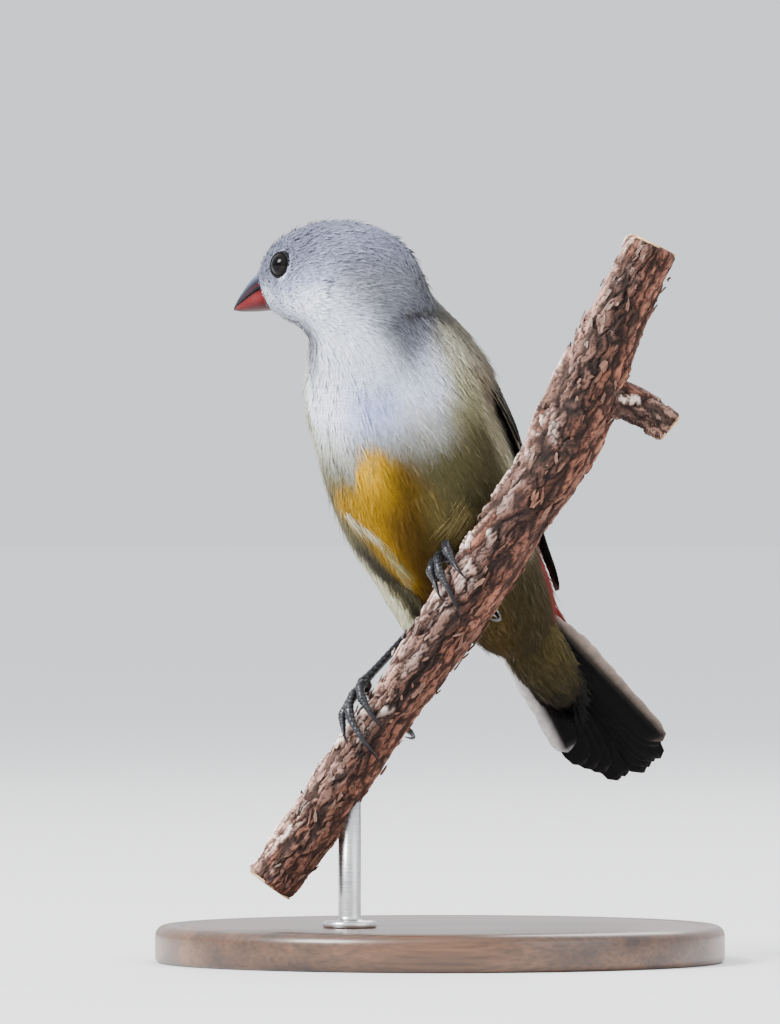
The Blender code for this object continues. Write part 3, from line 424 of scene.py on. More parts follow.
def combed(points):
    """The fine pale and dusky lines along the lie, from -1 to 1, times how strong they are there. On the head
    they run out from the bill, 0.45 mm apart, and on the trunk aft, 0.42 mm apart, and they waver and break."""
    forward, out, up = np.moveaxis((points - BILL_ROOT) @ HEAD.T, -1, 0)
    aft, left, dorsal, turn = round_trunk(points)
    side = np.abs(turn)
    waver = 0.55 * waves(points, 4.0, 21) + 0.35 * waves(points, 1.5, 22)
    from_bill = np.linalg.norm(points - BILL_ROOT, axis=-1)
    head_lines = np.sin(2 * math.pi * (np.abs(np.arctan2(out, up)) * 12 / 0.45 + waver))
    body_lines = np.sin(2 * math.pi * (np.radians(side) * np.hypot(left, dorsal) / 0.42 + waver))
    breaks = 0.65 + 0.7 * waves(points, 2.2, 23)
    on_trunk = smooth(aft, -8, -5)
    head_share = 0.14 + 0.10 * smooth(up, -2, 3) + 0.2 * smooth(-forward, 14, 21)
    head_share = head_share * smooth(from_bill, 3, 10) * (1 - on_trunk)
    neck_share = 0.6 * smooth(side, 22, 50) * bell((aft + 3.2) / 4.4)
    trunk_share = 0.04 + (0.12 + 0.25 * smooth(side, 35, 70)) * smooth(aft, 3, 10)
    return breaks * (head_share * head_lines + on_trunk * np.maximum(neck_share, trunk_share) * body_lines)


def barring(points):
    """Where along the fine dusky bars a point lies, counted in bars, and how strong they are there. The bars
    run across the feathers, 0.45 mm apart, and waver."""
    aft, _, _, turn = round_trunk(points)
    side = np.abs(turn)
    from_bill = np.linalg.norm(points - BILL_ROOT, axis=-1) / 0.45
    count = from_bill + smooth(aft, -9, 2) * ((aft + 24.9) / 0.45 - from_bill)
    count = count + 1.3 * waves(points, 4.0, 31) + 0.5 * waves(points, 1.3, 32)
    strong = 0.13 * bell((aft - 1.5) / 3.0) * (1 - smooth(side, 60, 90))
    strong = strong + smooth(aft, 0, 6) * (0.02 + 0.10 * smooth(side, 46, 75) + 0.08 * smooth(side, 85, 110))
    return count, np.clip(strong + 0.02, 0, 0.3)


def feather_lie(points):
    """The way that the feathers lie: away from the bill on the head, and aft on the neck and the trunk."""
    from_bill = unit(points - BILL_ROOT)
    flow = from_bill + smooth(aft_of(points), -9, 2)[..., None] * (TRUNK[0] - from_bill)
    normal = unit(body_slope(points))
    return square_to(flow, normal), normal


def outward(points, faces):
    """The faces of a closed mesh, turned over if they enclose less than nothing."""
    corners = (points - points.mean(axis=0))[faces]
    return faces[:, ::-1] if np.linalg.det(corners).sum() < 0 else faces


def make_piece(name, nodes, slot, material, points, faces, tint=None, uv=None, bars=None, normals=None, soft=True):
    """A piece from points in millimetres and triangles, in the place of the nodes named. Each point's tint is a
    colour, or a colour and the place along a fine pattern, and `bars` is that pattern's strength. Normals,
    where given, are what the light meets instead of each face's own."""
    mesh = bpy.data.meshes.new(name)
    points = np.asarray(points, float).reshape(-1, 3)
    faces = outward(points, faces)
    mesh.vertices.add(len(points))
    mesh.vertices.foreach_set("co", (points * 0.001).ravel())
    mesh.loops.add(faces.size)
    mesh.loops.foreach_set("vertex_index", faces.ravel().astype(np.int32))
    mesh.polygons.add(len(faces))
    mesh.polygons.foreach_set("loop_start", np.arange(0, faces.size, 3, dtype=np.int32))
    mesh.update(calc_edges=True)
    mesh.polygons.foreach_set("use_smooth", np.full(len(faces), soft))
    if uv is not None:
        mesh.uv_layers.new(name="OFBake").data.foreach_set("uv", uv[faces.ravel()].ravel())
    if tint is not None:
        layer = mesh.color_attributes.new("tint", "FLOAT_COLOR", "POINT")
        tint = tint if tint.shape[1] == 4 else np.column_stack([tint, np.ones(len(tint))])
        layer.data.foreach_set("color", tint.ravel())
    if bars is not None:
        mesh.attributes.new("bars", "FLOAT", "POINT").data.foreach_set("value", bars.ravel())
    if normals is not None:
        mesh.normals_split_custom_set_from_vertices(normals)
    mesh.materials.append(material)
    piece = bpy.data.objects.new(name, mesh)
    bpy.context.scene.collection.objects.link(piece)
    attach(piece, BODY)
    if nodes:
        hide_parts(*nodes)


def grid_faces(rows, columns):
    """Triangles of a grid of points, row by row, whose last column joins its first."""
    i, j = np.meshgrid(np.arange(rows - 1), np.arange(columns), indexing="ij")
    a, b = i * columns + j, i * columns + (j + 1) % columns
    quads = np.stack([a, a + columns, b + columns, b], axis=-1).reshape(-1, 4)
    return np.concatenate([quads[:, [0, 1, 2]], quads[:, [0, 2, 3]]])


def capped(points, tint=None):
    """Points and triangles of a closed tube through a grid of rings, with a fan over each end. A grid of tints
    comes back as a list too, where each fan's middle has the colour of its ring's first point."""
    rows, columns = points.shape[:2]
    flat = np.concatenate([points.reshape(-1, 3), points[:1].mean(axis=1), points[-1:].mean(axis=1)])
    j = np.arange(columns)
    after = (j + 1) % columns
    last = (rows - 1) * columns
    start = np.stack([0 * j + rows * columns, j, after], axis=1)
    end = np.stack([0 * j + rows * columns + 1, last + after, last + j], axis=1)
    faces = np.concatenate([grid_faces(rows, columns), start, end])
    if tint is None:
        return flat, faces
    return flat, faces, np.concatenate([tint.reshape(-1, tint.shape[-1]), tint[0, :1], tint[-1, :1]])


def connect(node, **links):
    """Values, or the sockets of other nodes, put into a node's inputs by name, or by number after a `_`."""
    for key, value in links.items():
        socket = node.inputs[int(key[1:])] if key[0] == "_" else node.inputs[key.replace("_", " ")]
        if isinstance(value, bpy.types.NodeSocket):
            node.id_data.links.new(value, socket)
        else:
            socket.default_value = value


def add_node(tree, kind, settings=None, gives=0, **links):
    """The output, by number or name, of one new shader node with its settings, values and links."""
    node = tree.nodes.new("ShaderNode" + kind)
    for key, value in (settings or {}).items():
        setattr(node, key, value)
    connect(node, **links)
    return node.outputs[gives]


def finish(name, **values):
    """A Principled material, its node tree and its shader, with plain values on the shader's own sockets."""
    material = bpy.data.materials.new(name)
    material.use_nodes = True
    shader = material.node_tree.nodes["Principled BSDF"]
    connect(shader, **values)
    return material, material.node_tree, shader


def tint_and_wave(tree):
    """The mesh's own tint, and the sine of the place along its fine pattern, which the tint's alpha counts."""
    tint = add_node(tree, "Attribute", {"attribute_name": "tint"})
    phase = add_node(tree, "Math", {"operation": "MULTIPLY"}, _0=tint.node.outputs["Alpha"], _1=2 * math.pi)
    return tint, add_node(tree, "Math", {"operation": "SINE"}, _0=phase)


# Contour feathers: keratin barbs, matt, with a faint silky sheen at a glancing angle. The colour comes from
# the plumage function, dusky bars from the count and strength on each point, and a mottle from the barbs.
feather_material, tree, shader = finish(
    "contour_feathers", Roughness=0.8, IOR=1.45, Sheen_Weight=0.05, Sheen_Roughness=0.5, Specular_IOR_Level=0.12
)
colour, wave = tint_and_wave(tree)
place = add_node(tree, "TexCoord", gives="Object")
strength = add_node(tree, "Attribute", {"attribute_name": "bars"}, "Fac")
dusk = add_node(tree, "Math", {"operation": "MULTIPLY"}, _0=wave, _1=strength)
mottle = add_node(tree, "TexNoise", Vector=place, Scale=1500.0, Detail=3.0, Roughness=0.6)
ramp = add_node(tree, "MapRange", Value=mottle, From_Min=0.3, From_Max=0.7, To_Min=0.87, To_Max=1.12)
share = add_node(tree, "Math", {"operation": "SUBTRACT"}, _0=ramp, _1=dusk)
tinted = add_node(tree, "VectorMath", {"operation": "SCALE"}, _0=colour, Scale=share)
bump = add_node(tree, "Bump", Height=mottle, Strength=0.2, Distance=0.0002)
connect(shader, Base_Color=tinted, Normal=bump)


def tube_uv(rows, places):
    """A capped tube's unwrap: rings along u, places round them along v, and the ends' middles at the margins."""
    uv = np.stack(np.meshgrid(np.linspace(0.01, 0.99, rows), places, indexing="ij"), axis=-1)
    return np.concatenate([uv.reshape(-1, 2), [[0.005, 0.5], [0.995, 0.5]]])


skin_points = onto_body(finer(body_grid(56, 44, -COAT_DEPTH), 3), -COAT_DEPTH, 3)
for name in EYE_PLACES:  # the rim of each eye socket stands up to the lid
    _, ahead, off = from_eye(skin_points, name)
    rim = 0.42 * bell((off - 1.9) / 0.5) * smooth(ahead, -0.5, 0.5)
    skin_points = skin_points + rim[..., None] * gaze(name)
skin_rows, skin_columns = skin_points.shape[:2]
flat, faces = capped(skin_points)
count, strong = barring(flat)
# Painted shade: the skin is a tenth darker than the coat, as shade under the tufts.
shade = np.column_stack([plumage(flat) * 0.9, count])
uv = tube_uv(skin_rows, np.linspace(0, 1, skin_columns))
nodes = "head", "neck", "torso"
make_piece("body_skin", nodes, "pale_grey_plumage", feather_material, flat, faces, shade, uv, strong)


# The small body feathers. Only the last two or three millimetres of each show, lying aft over the next like
# tiles. Each is a thin closed blade, wide in the middle and pointed. Over them lie single loose barbs, which
# are thin spikes and give the coat its combed, silky look.


def everywhere(points):
    """The same density all over."""
    return np.ones(len(points))


def scatter(grid, count, density=everywhere):
    """Places for tufts on a closed grid of rings: each cell gets a share that follows its area times the
    density there, and a random point in it. Gives the places, their patch of the grid's own unwrap and the
    directions out of it."""
    draw = np.random.default_rng(count)
    rows, columns = grid.shape[:2]
    a, b = grid[:-1], grid[1:]
    corners = np.stack([a, b, np.roll(b, -1, axis=1), np.roll(a, -1, axis=1)], axis=2).reshape(-1, 4, 3)
    middle = corners.mean(axis=1)
    cross = np.cross(corners[:, 2] - corners[:, 0], corners[:, 3] - corners[:, 1])
    centre = grid.mean(axis=1, keepdims=True)[:-1].repeat(columns, axis=1).reshape(-1, 3)
    cross = cross * np.sign(np.sum(cross * (middle - centre), axis=1, keepdims=True))
    edges = np.concatenate([[0], np.cumsum(np.linalg.norm(cross, axis=1) * density(middle))])
    pick = (np.arange(count) + draw.uniform(0, 1, count)) / count * edges[-1]
    cell = np.clip(np.searchsorted(edges, pick, side="right") - 1, 0, len(middle) - 1)
    s, t = draw.uniform(0, 1, (2, count, 1))
    c = corners[cell]
    points = (1 - s) * (1 - t) * c[:, 0] + s * (1 - t) * c[:, 1] + s * t * c[:, 2] + (1 - s) * t * c[:, 3]
    row, column = np.divmod(cell, columns)
    uv = np.stack([0.01 + 0.98 * (row + s[:, 0]) / (rows - 1), (column + t[:, 0]) / columns], axis=1)
    return points, uv, unit(cross[cell]), draw


def clear_of_eyes(points):
    """How far outside the opening of either eye a point lies, in millimetres."""
    clear = np.full(len(points), 99.0)
    for name in EYE_PLACES:
        _, ahead, off = from_eye(points, name)
        clear = np.where(ahead > 0, np.minimum(clear, off), clear)
    return clear


BLADE_FACES = np.array(
    [(0, 2, 1), (0, 1, 4), (0, 4, 3), (1, 2, 5), (1, 5, 4), (2, 0, 3), (2, 3, 5), (3, 4, 6), (4, 5, 6), (5, 3, 6)]
)
BARB_FACES = np.array([(0, 1, 2), (0, 3, 1), (1, 3, 2), (2, 3, 0)])


def tufts(name, nodes, slot, points, faces, shade, uv, colour, draw, vary, bars, normal, soft):
    """One mesh of many small closed shapes, all with the same faces. Their points are painted darker at the root and
    lighter at the tip, as painted shade and painted light, and each one's patch of the unwrap is three thousandths
    across. The coat takes the light as one surface: each point's normal is mostly the skin's, turned by `soft`
    towards the sides of its own tuft."""
    count, corners = points.shape[:2]
    faces = (np.arange(count)[:, None, None] * corners + faces).reshape(-1, 3)
    tone = 1 + np.reshape(vary, (-1, 1, 1)) * np.clip(draw.normal(0, 1, (count, 1, 1)), -2, 2)
    colours = np.clip(colour[:, None] * np.asarray(shade)[None, :, None] * tone, 0.002, 1)
    phase, strong = barring(points)
    strong = strong if bars is None else np.full_like(strong, bars)
    tint = np.concatenate([colours, phase[..., None]], axis=-1).reshape(-1, 4)
    turn = around(corners)
    patch = 0.0015 * np.stack([np.cos(turn), np.sin(turn)], axis=1)
    patches = np.clip(uv[:, None] + patch, 0.001, 0.999).reshape(-1, 2)
    own = unit(points - points.mean(axis=1, keepdims=True) + 0.001 * normal[:, None])
    lit = unit(normal[:, None] + soft * own).reshape(-1, 3)
    make_piece(name, nodes, slot, feather_material, points, faces, tint, patches, strong, lit)


def blades(names, roots, direction, normal, length, width, lift, uv, colour, draw, vary, bars=None):
    """Closed blades. A root ring and a middle ring of three points each and a tip lie along the direction; the
    middle stands `lift` of the length off the skin and the tip a little more."""
    length, width = length[:, None], width[:, None]
    side = unit(np.cross(direction, normal))
    middle = roots + 0.55 * length * direction + (lift * 0.75)[:, None] * length * normal
    tip = roots + length * direction + (lift * 0.95)[:, None] * length * normal
    tip = tip + draw.uniform(-0.12, 0.12, (len(roots), 1)) * length * side
    thick, sunk = 0.06, 0.12
    low, wing = roots - sunk * normal, 0.32 * width * side
    belly, broad = middle - thick * 0.7 * normal, 0.5 * width * side
    ridges = low + 0.5 * thick * normal, middle + thick * 0.7 * normal
    points = np.stack([low - wing, ridges[0], low + wing, belly - broad, ridges[1], belly + broad, tip], axis=1)
    # Painted shade at the roots and painted light at the tips.
    shade = (0.86, 0.86, 0.86, 0.97, 1.0, 0.97, 1.08)
    tufts(*names, points, BLADE_FACES, shade, uv, colour, draw, vary, bars, normal, 0.35)


def barbs(names, roots, direction, normal, length, width, lift, uv, colour, draw, vary, bars=None):
    """Closed spikes of four faces: a root triangle and a tip that stands `lift` of the length off the skin."""
    length, width = length[:, None], width[:, None]
    side = unit(np.cross(direction, normal))
    start = roots + 0.02 * normal
    tip = roots + length * direction + lift[:, None] * length * normal
    tip = tip + draw.uniform(-0.08, 0.08, (len(roots), 1)) * length * side
    points = np.stack([start - width / 2 * side, start + width / 2 * side, start + 0.8 * width * normal, tip], axis=1)
    # Painted shade at the root and painted light at the tip.
    tufts(*names, points, BARB_FACES, (0.93, 0.93, 0.97, 1.08), uv, colour, draw, vary, bars, normal, 0.25)


def contrast(points):
    """How much neighbouring tufts differ: a lot on the cap, the neck's sides and the mantle, little on the
    silky breast."""
    aft, _, _, turn = round_trunk(points)
    head_share = 0.10 + 0.09 * smooth((points - HEAD_CENTRE) @ HEAD[2], -3, 3)
    trunk_share = 0.03 + 0.06 * smooth(aft, 8, 14) + 0.13 * smooth(np.abs(turn), 45, 85)
    return head_share + smooth(aft, -8, -3) * (trunk_share - head_share)


EYE_OPENING = 1.72


def coat(names, make, grid, count, density, sizes):
    """A coat piece: blades or barbs over part of a surface, with their length, width and lift by place."""
    roots, uv, _, draw = scatter(grid, count, density)
    keep = clear_of_eyes(roots) > EYE_OPENING
    roots, uv = roots[keep], uv[keep]
    direction, normal = feather_lie(roots)
    swing = draw.normal(0, 0.12, (len(roots), 1))
    direction = unit(direction + swing * np.cross(normal, direction))
    length, width, lift = sizes(roots)
    middle = roots + 0.5 * length[:, None] * direction
    colour = plumage(middle) * (1 + combed(middle))[:, None]
    length = length * draw.uniform(0.75, 1.2, len(roots))
    # Three in a hundred stand up loosely.
    lift = lift * np.where(draw.uniform(0, 1, len(roots)) < 0.03, 2.4, draw.uniform(0.7, 1.2, len(roots)))
    vary = contrast(roots) * (0.6 if make is blades else 1.0)
    make(names, roots, direction, normal, length, width, lift, uv, colour, draw, vary)


def blade_sizes(points):
    """Under a millimetre at the bill and the eye, two on the crown, and three on the flanks and the belly."""
    grow = smooth(np.linalg.norm(points - head(11, 0, -0.9), axis=1), 1.0, 13.0)
    near_eye = 1 - smooth(clear_of_eyes(points), 1.9, 3.2)
    trunk_share = smooth(aft_of(points), -8, 14)
    length = (0.75 + 1.2 * grow + 1.1 * trunk_share) * (1 - 0.5 * near_eye)
    width = (0.16 + 0.13 * grow + 0.14 * trunk_share) * (1 - 0.3 * near_eye)
    return length, width, 0.26 - 0.10 * grow - 0.05 * trunk_share


def barb_sizes(points):
    """As long as the blades or longer, much narrower, and nearly flat on them."""
    length, width, lift = blade_sizes(points)
    return length * (0.95 + 0.35 * smooth(aft_of(points), 0, 12)), 0.085 + 0.13 * width, lift * 1.02


def on_face(points):
    """The head, and more than twice as dense close to the bill."""
    near_bill = 1 - smooth(np.linalg.norm(points - head(10, 0, -0.9), axis=1), 5, 9)
    return (1 - smooth(aft_of(points), -6.5, -4.5)) * (1 + 1.5 * near_bill)


def on_neck(points):
    """From the head's rear to the shoulders."""
    return smooth(aft_of(points), -6.5, -4.5) * (1 - smooth(aft_of(points), 6, 8))


def on_front(points):
    """The belly's half of the trunk."""
    return smooth(aft_of(points), 6, 8) * (1 - smooth(round_trunk(points)[2], -1, 1))


def on_back(points):
    """The back's half of the trunk."""
    return smooth(aft_of(points), 6, 8) * smooth(round_trunk(points)[2], -1, 1)


COAT_AREAS = (  # each area's density and slot, how many blades lie there and how many barbs
    ("head", on_face, "grey_plumage", 15000, 26000),
    ("neck", on_neck, "pale_grey_plumage", 10000, 36000),
    ("breast_belly", on_front, "yellow_plumage", 12000, 48000),
    ("back", on_back, "pale_olive_plumage", 6000, 18000),
)
for area, density, slot, number, _ in COAT_AREAS:
    coat((area + "_feathers", (), slot), blades, skin_points, number, density, blade_sizes)
for area, density, slot, _, number in COAT_AREAS:
    coat((area + "_barbs", (), slot), barbs, skin_points, number, density, barb_sizes)


def seen_at(across, down):
    """The places on the body's near side behind points of the picture, given from its left and top edge.
    Halving the way in from 40 mm before the middle finds them."""
    x, z = from_picture(across, down)
    points = np.stack([x, np.full(len(x), -40.0), z], axis=1)
    near, far = points[:, 1].copy(), np.full(len(x), -6.0)
    for _ in range(16):
        points[:, 1] = (near + far) / 2
        inside = body_field(points) < -COAT_DEPTH
        near, far = np.where(inside, near, points[:, 1]), np.where(inside, points[:, 1], far)
    return points


# Long loose barbs lie in lines between two points of the picture: they leave the body there and run on in the
# line's own direction, spread a little. Each line's name, ends, spread in pixels, how many barbs it has, their
# length and width, colour, slot and seed.
for name, start, end, spread, count, length, width, colour, slot, seed in (
    ("cream_plume", (377, 452), (370, 480), 1.5, 60, 2.8, 0.08, "#c09a3c", "yellow_plumage", 81),
    ("flank_strands_pale", (347, 511), (384, 541), 1.3, 70, 3.6, 0.07, "#c2bba0", "pale_olive_plumage", 82),
    ("flank_strands_lower", (380, 538), (406, 576), 1.5, 110, 3.4, 0.08, "#8d8358", "pale_olive_plumage", 84),
    ("flank_strands_gold", (474, 502), (446, 536), 7.0, 130, 3.8, 0.085, "#b3a268", "pale_olive_plumage", 83),
):
    draw = np.random.default_rng(seed)
    start, end = np.array(start, float), np.array(end, float)
    way = unit(end - start)
    t = draw.uniform(0, 1, count)[:, None]
    spots = start + t * (end - start) * 0.75 + draw.normal(0, spread, (count, 1)) * np.array([-way[1], way[0]])
    roots = seen_at(spots[:, 0], spots[:, 1])
    normal = unit(body_slope(roots))
    heading = np.array([way[0], 0.0, -way[1]]) + draw.normal(0, 0.09, (count, 3))
    direction = square_to(heading, normal)
    long = length * draw.uniform(0.6, 1.15, count)
    uv = np.stack([0.5 + 0.3 * t[:, 0], 0.5 + 0 * t[:, 0]], axis=1)
    shade = np.broadcast_to(linear(colour), (count, 3)) * draw.uniform(0.45, 1.15, (count, 1))
    wide, lift = np.full(count, width), np.full(count, 0.09)
    roots = roots + 0.35 * normal
    barbs((name, (), slot), roots, direction, normal, long, wide, lift, uv, shade, draw, 0.1, 0.0)

# Eyes. A finch's eye is a wet dark ball, nearly all pupil, with a narrow umber iris round it. The clear cornea
# stands out a little in front, and gives one sharp highlight.


def round_gaze(name, off, rise, turn):
    """Points round an eye's line of sight: `off` away from the line, `rise` along it, turned from level up."""
    level = unit(np.cross(gaze(name), UPWARD))
    over = np.cross(level, gaze(name))
    ring = np.cos(turn)[..., None] * level + np.sin(turn)[..., None] * over
    return head(*EYE_PLACES[name]) + off[..., None] * ring + rise[..., None] * gaze(name)


def grained(name, kind, pattern, shares=None, relief=None, turned=None, **look):
    """A finish in the mesh's own tint with a grain over it, in object coordinates. `shares` holds two values of
    the grain and what it multiplies the colour by at each, and `relief` its bump's strength and depth."""
    material, tree, shader = finish(name, **look)
    colour = add_node(tree, "Attribute", {"attribute_name": "tint"})
    place = add_node(tree, "TexCoord", gives="Object")
    if turned:
        place = add_node(tree, "Mapping", Vector=place, **turned)
    grain = add_node(tree, kind, Vector=place, **pattern)
    if shares:
        spread = dict(zip(("From_Min", "From_Max", "To_Min", "To_Max"), shares))
        share = add_node(tree, "MapRange", Value=grain, **spread)
        colour = add_node(tree, "VectorMath", {"operation": "SCALE"}, _0=colour, Scale=share)
    connect(shader, Base_Color=colour)
    if relief:
        connect(shader, Normal=add_node(tree, "Bump", Height=grain, Strength=relief[0], Distance=relief[1]))
    return material


NOISE, CELLS = "TexNoise", "TexVoronoi"
wet = {"Roughness": 0.1, "IOR": 1.38, "Coat_Weight": 0.2, "Coat_Roughness": 0.03, "Specular_IOR_Level": 0.03}
eye_material = grained("wet_eye", NOISE, {"Scale": 5000.0, "Detail": 2.0}, (0.3, 0.7, 0.7, 1.3), **wet)
off_sight = np.radians(np.linspace(0.5, 179.5, 48))[:, None]
turn = around(72)[None, :]
for side in EYE_PLACES:
    radius = EYE_RADIUS * (1 + 0.05 * bell(off_sight / math.radians(34))) + 0 * turn
    ball = round_gaze(side, radius * np.sin(off_sight), radius * np.cos(off_sight), turn + 0 * off_sight)
    flat, faces = capped(ball)
    away = np.degrees(np.concatenate([(off_sight + 0 * turn).ravel(), [0, math.pi]]))
    rays = 1 + 0.25 * np.sin(40 * np.concatenate([(turn + 0 * off_sight).ravel(), [0, 0]]))
    iris = smooth(away, 27, 31) * (1 - smooth(away, 43, 49))
    shade = blend(iris * rays, "#020203", "#120e0c")
    make_piece("eyeball_" + side, ("eye_" + side,), "eye", eye_material, flat, faces, shade)

# Lids. A thin fold of bare, wrinkled, blackish skin closes on each eyeball like a gasket.

LID_SECTION = np.array(  # off the line of sight and along it, round the fold's section
    [(1.60, 0.98), (1.52, 1.10), (1.54, 1.24), (1.64, 1.32), (1.76, 1.28), (1.86, 1.14), (1.93, 0.94)]
    + [(1.97, 0.66), (1.95, 0.36), (1.86, 0.20), (1.72, 0.45)]
)
dry = {"Roughness": 0.5, "IOR": 1.45, "Specular_IOR_Level": 0.15}
lid_material = grained("lid_skin", CELLS, {"Scale": 6000.0}, None, (0.5, 0.00005), **dry)
turn = around(96)[:, None]
for side in EYE_PLACES:
    folds = 0.03 * np.sin(26 * turn) * np.array([0, 0, 0.4, 1, 1, 1, 0.6, 0, 0, 0, 0])
    almond = 1 + 0.03 * np.cos(2 * turn) - 0.02 * np.sin(turn)
    off, rise = LID_SECTION[:, 0] * almond, LID_SECTION[:, 1] + folds
    rows = round_gaze(side, off, rise, turn + 0 * off)
    count, sides = off.shape
    i, j = np.meshgrid(np.arange(count), np.arange(sides), indexing="ij")
    a, b = i * sides + j, i * sides + (j + 1) % sides
    c, d = (i + 1) % count * sides + (j + 1) % sides, (i + 1) % count * sides + j
    faces = np.stack([a, b, c, d], axis=-1).reshape(-1, 4)
    faces = np.concatenate([faces[:, [0, 1, 2]], faces[:, [0, 2, 3]]])
    shade = blend(1 - smooth(off, 1.80, 1.95).ravel(), "#1a1a1f", "#040405")
    make_piece("lid_" + side, ("head",), "leg_skin", lid_material, rows, faces, shade)

# Bill. Two halves of keratin horn over bone meet along the mouth. The upper one is slate black with a crimson
# cutting edge, and the lower one is crimson. The horn is smooth, with faint grooves that run to the tip.

BILL_REAR, BILL_TIP, BILL_HALF_WIDTH = 9.2, 18.1, 2.9


def bill_lines(forward):
    """Heights of the culmen, the mouth line and the gonys, and the half width, at places along the bill."""
    stations = (10.0, 12.0, 13.8, 15.5, 17.0, BILL_TIP)
    culmen = along(forward, stations, (2.5, 2.05, 1.2, 0.0, -1.25, -2.35))
    mouth = along(forward, stations, (-0.7, -1.0, -1.42, -1.85, -2.18, -2.5))
    gonys = along(forward, stations, (-3.6, -3.55, -3.42, -3.2, -2.95, -2.62))
    width = along(forward, stations, np.array([1.0, 0.92, 0.72, 0.49, 0.26, 0.05]) * BILL_HALF_WIDTH)
    return culmen, mouth, gonys, width


horn = {"Roughness": 0.38, "IOR": 1.54, "Coat_Weight": 0.0, "Coat_Roughness": 0.25, "Specular_IOR_Level": 0.09}
to_tip = {"Rotation": (0.0, math.radians(-38), math.radians(38)), "Scale": (300, 4200, 4200)}
grooves = {"Scale": 1.0, "Detail": 4.0}
bill_material = grained("horn", NOISE, grooves, (0.3, 0.7, 0.85, 1.15), (0.2, 0.0001), to_tip, **horn)
forward = np.linspace(BILL_REAR, BILL_TIP, 70)[:, None]
culmen, mouth, gonys, width = bill_lines(forward)
arch = np.linspace(0, math.pi, 49)[None, :]
for half, way, edge, crest in (("upper", 1, mouth + 0.06, culmen), ("lower", -1, mouth - 0.06, gonys)):
    crest = np.where(np.abs(crest - edge) < 0.08, edge + way * 0.08, crest)
    over = np.sin(arch) ** 0.85
    left = width * np.cos(arch)
    up = edge + (crest - edge) * over
    lip = 0.12 * width / BILL_HALF_WIDTH * bell(over / 0.16)
    left = left + np.sign(np.cos(arch)) * lip
    nostril = np.hypot((forward - 12.3) / 0.5, (up - 1.15) / 0.26)
    sunk = 0.3 * bell(nostril) * (way > 0)
    left = left - np.sign(np.cos(arch)) * sunk * (np.abs(np.cos(arch)) > 0.2)
    across = np.linspace(-1, 1, 15)[None, 1:-1]
    hollow = edge + way * 0.25 * (1 - across**2) * width / BILL_HALF_WIDTH
    outer, inner = [
        HEAD_CENTRE + np.stack(np.broadcast_arrays(forward, *line), axis=-1) @ HEAD
        for line in ((left, up), (width * across, hollow))
    ]
    heights = np.concatenate([np.broadcast_to(over, outer.shape[:2]), np.zeros(inner.shape[:2])], axis=1)
    reach = np.broadcast_to((forward - 10.5) / (BILL_TIP - 10.5), heights.shape)
    if half == "upper":
        red = smooth(heights, 0.10, 0.16) * (1 - smooth(heights + 0.10 * reach, 0.24, 0.34))
        # Painted reflection: the black horn is painted lighter and bluer towards the culmen, as a sheen on its top.
        shade = blend(smooth(heights, 0.3, 0.98), "#191a22", "#667088")
        shade = blend(0.8 * red * (1 - smooth(reach, 0.6, 0.9)), shade, "#3d0a12")
        shade = blend(1 - smooth(heights, 0.06, 0.12), shade, "#050406")
    else:
        # Painted shade: the lower half darkens towards its underside.
        shade = blend(smooth(heights, 0.25, 0.9), "#5f080d", "#3c0508")
        # Painted highlight: a paler patch on the side of the lower half.
        pale = bell(np.hypot((reach - 0.22) / 0.16, (heights - 0.3) / 0.22))
        shade = blend(0.35 * pale, shade, "#7a363b")
        shade = blend(1 - smooth(heights, 0.05, 0.12), shade, "#120507")
        shade = blend(smooth(reach, 0.84, 0.98), shade, "#1c1418")
        shade = blend(smooth(-reach, -0.04, 0.05), shade, "#9a8f6c")
    slot = "bill_black" if half == "upper" else "bill_red"
    rows = np.concatenate([outer, inner], axis=1)
    make_piece("bill_half_" + half, ("bill_" + half,), slot, bill_material, *capped(rows, shade))

# Wings. Each is folded along the flank: nine long primaries, then secondaries and tertials over them, and
# two rows of coverts over their bases. The vanes are brown with paler edges, and a shaft runs down each.


def body_surface(aft, angle, height):
    """Points `height` above the trunk: `aft` along it, and `angle` degrees round it from the back to the left.
    Halving the ray between inside and outside finds the surface."""
    aft, angle, height = np.broadcast_arrays(np.asarray(aft, float), np.radians(angle), height)
    axis = NECK_ROOT + aft[..., None] * TRUNK[0]
    ray = np.sin(angle)[..., None] * TRUNK[1] + np.cos(angle)[..., None] * TRUNK[2]
    inner, outer = np.zeros(aft.shape), np.full(aft.shape, 25.0)
    for _ in range(18):
        middle = (inner + outer) / 2
        inside = body_field(axis + middle[..., None] * ray) < 0
        inner, outer = np.where(inside, middle, inner), np.where(inside, outer, middle)
    return axis + (inner + height)[..., None] * ray


VANE_STEPS = 34
VANE_CROSS = np.array([-1, -0.86, -0.6, -0.34, -0.2, -0.12, -0.04, 0.1, 0.36, 0.62, 0.87, 1.0])


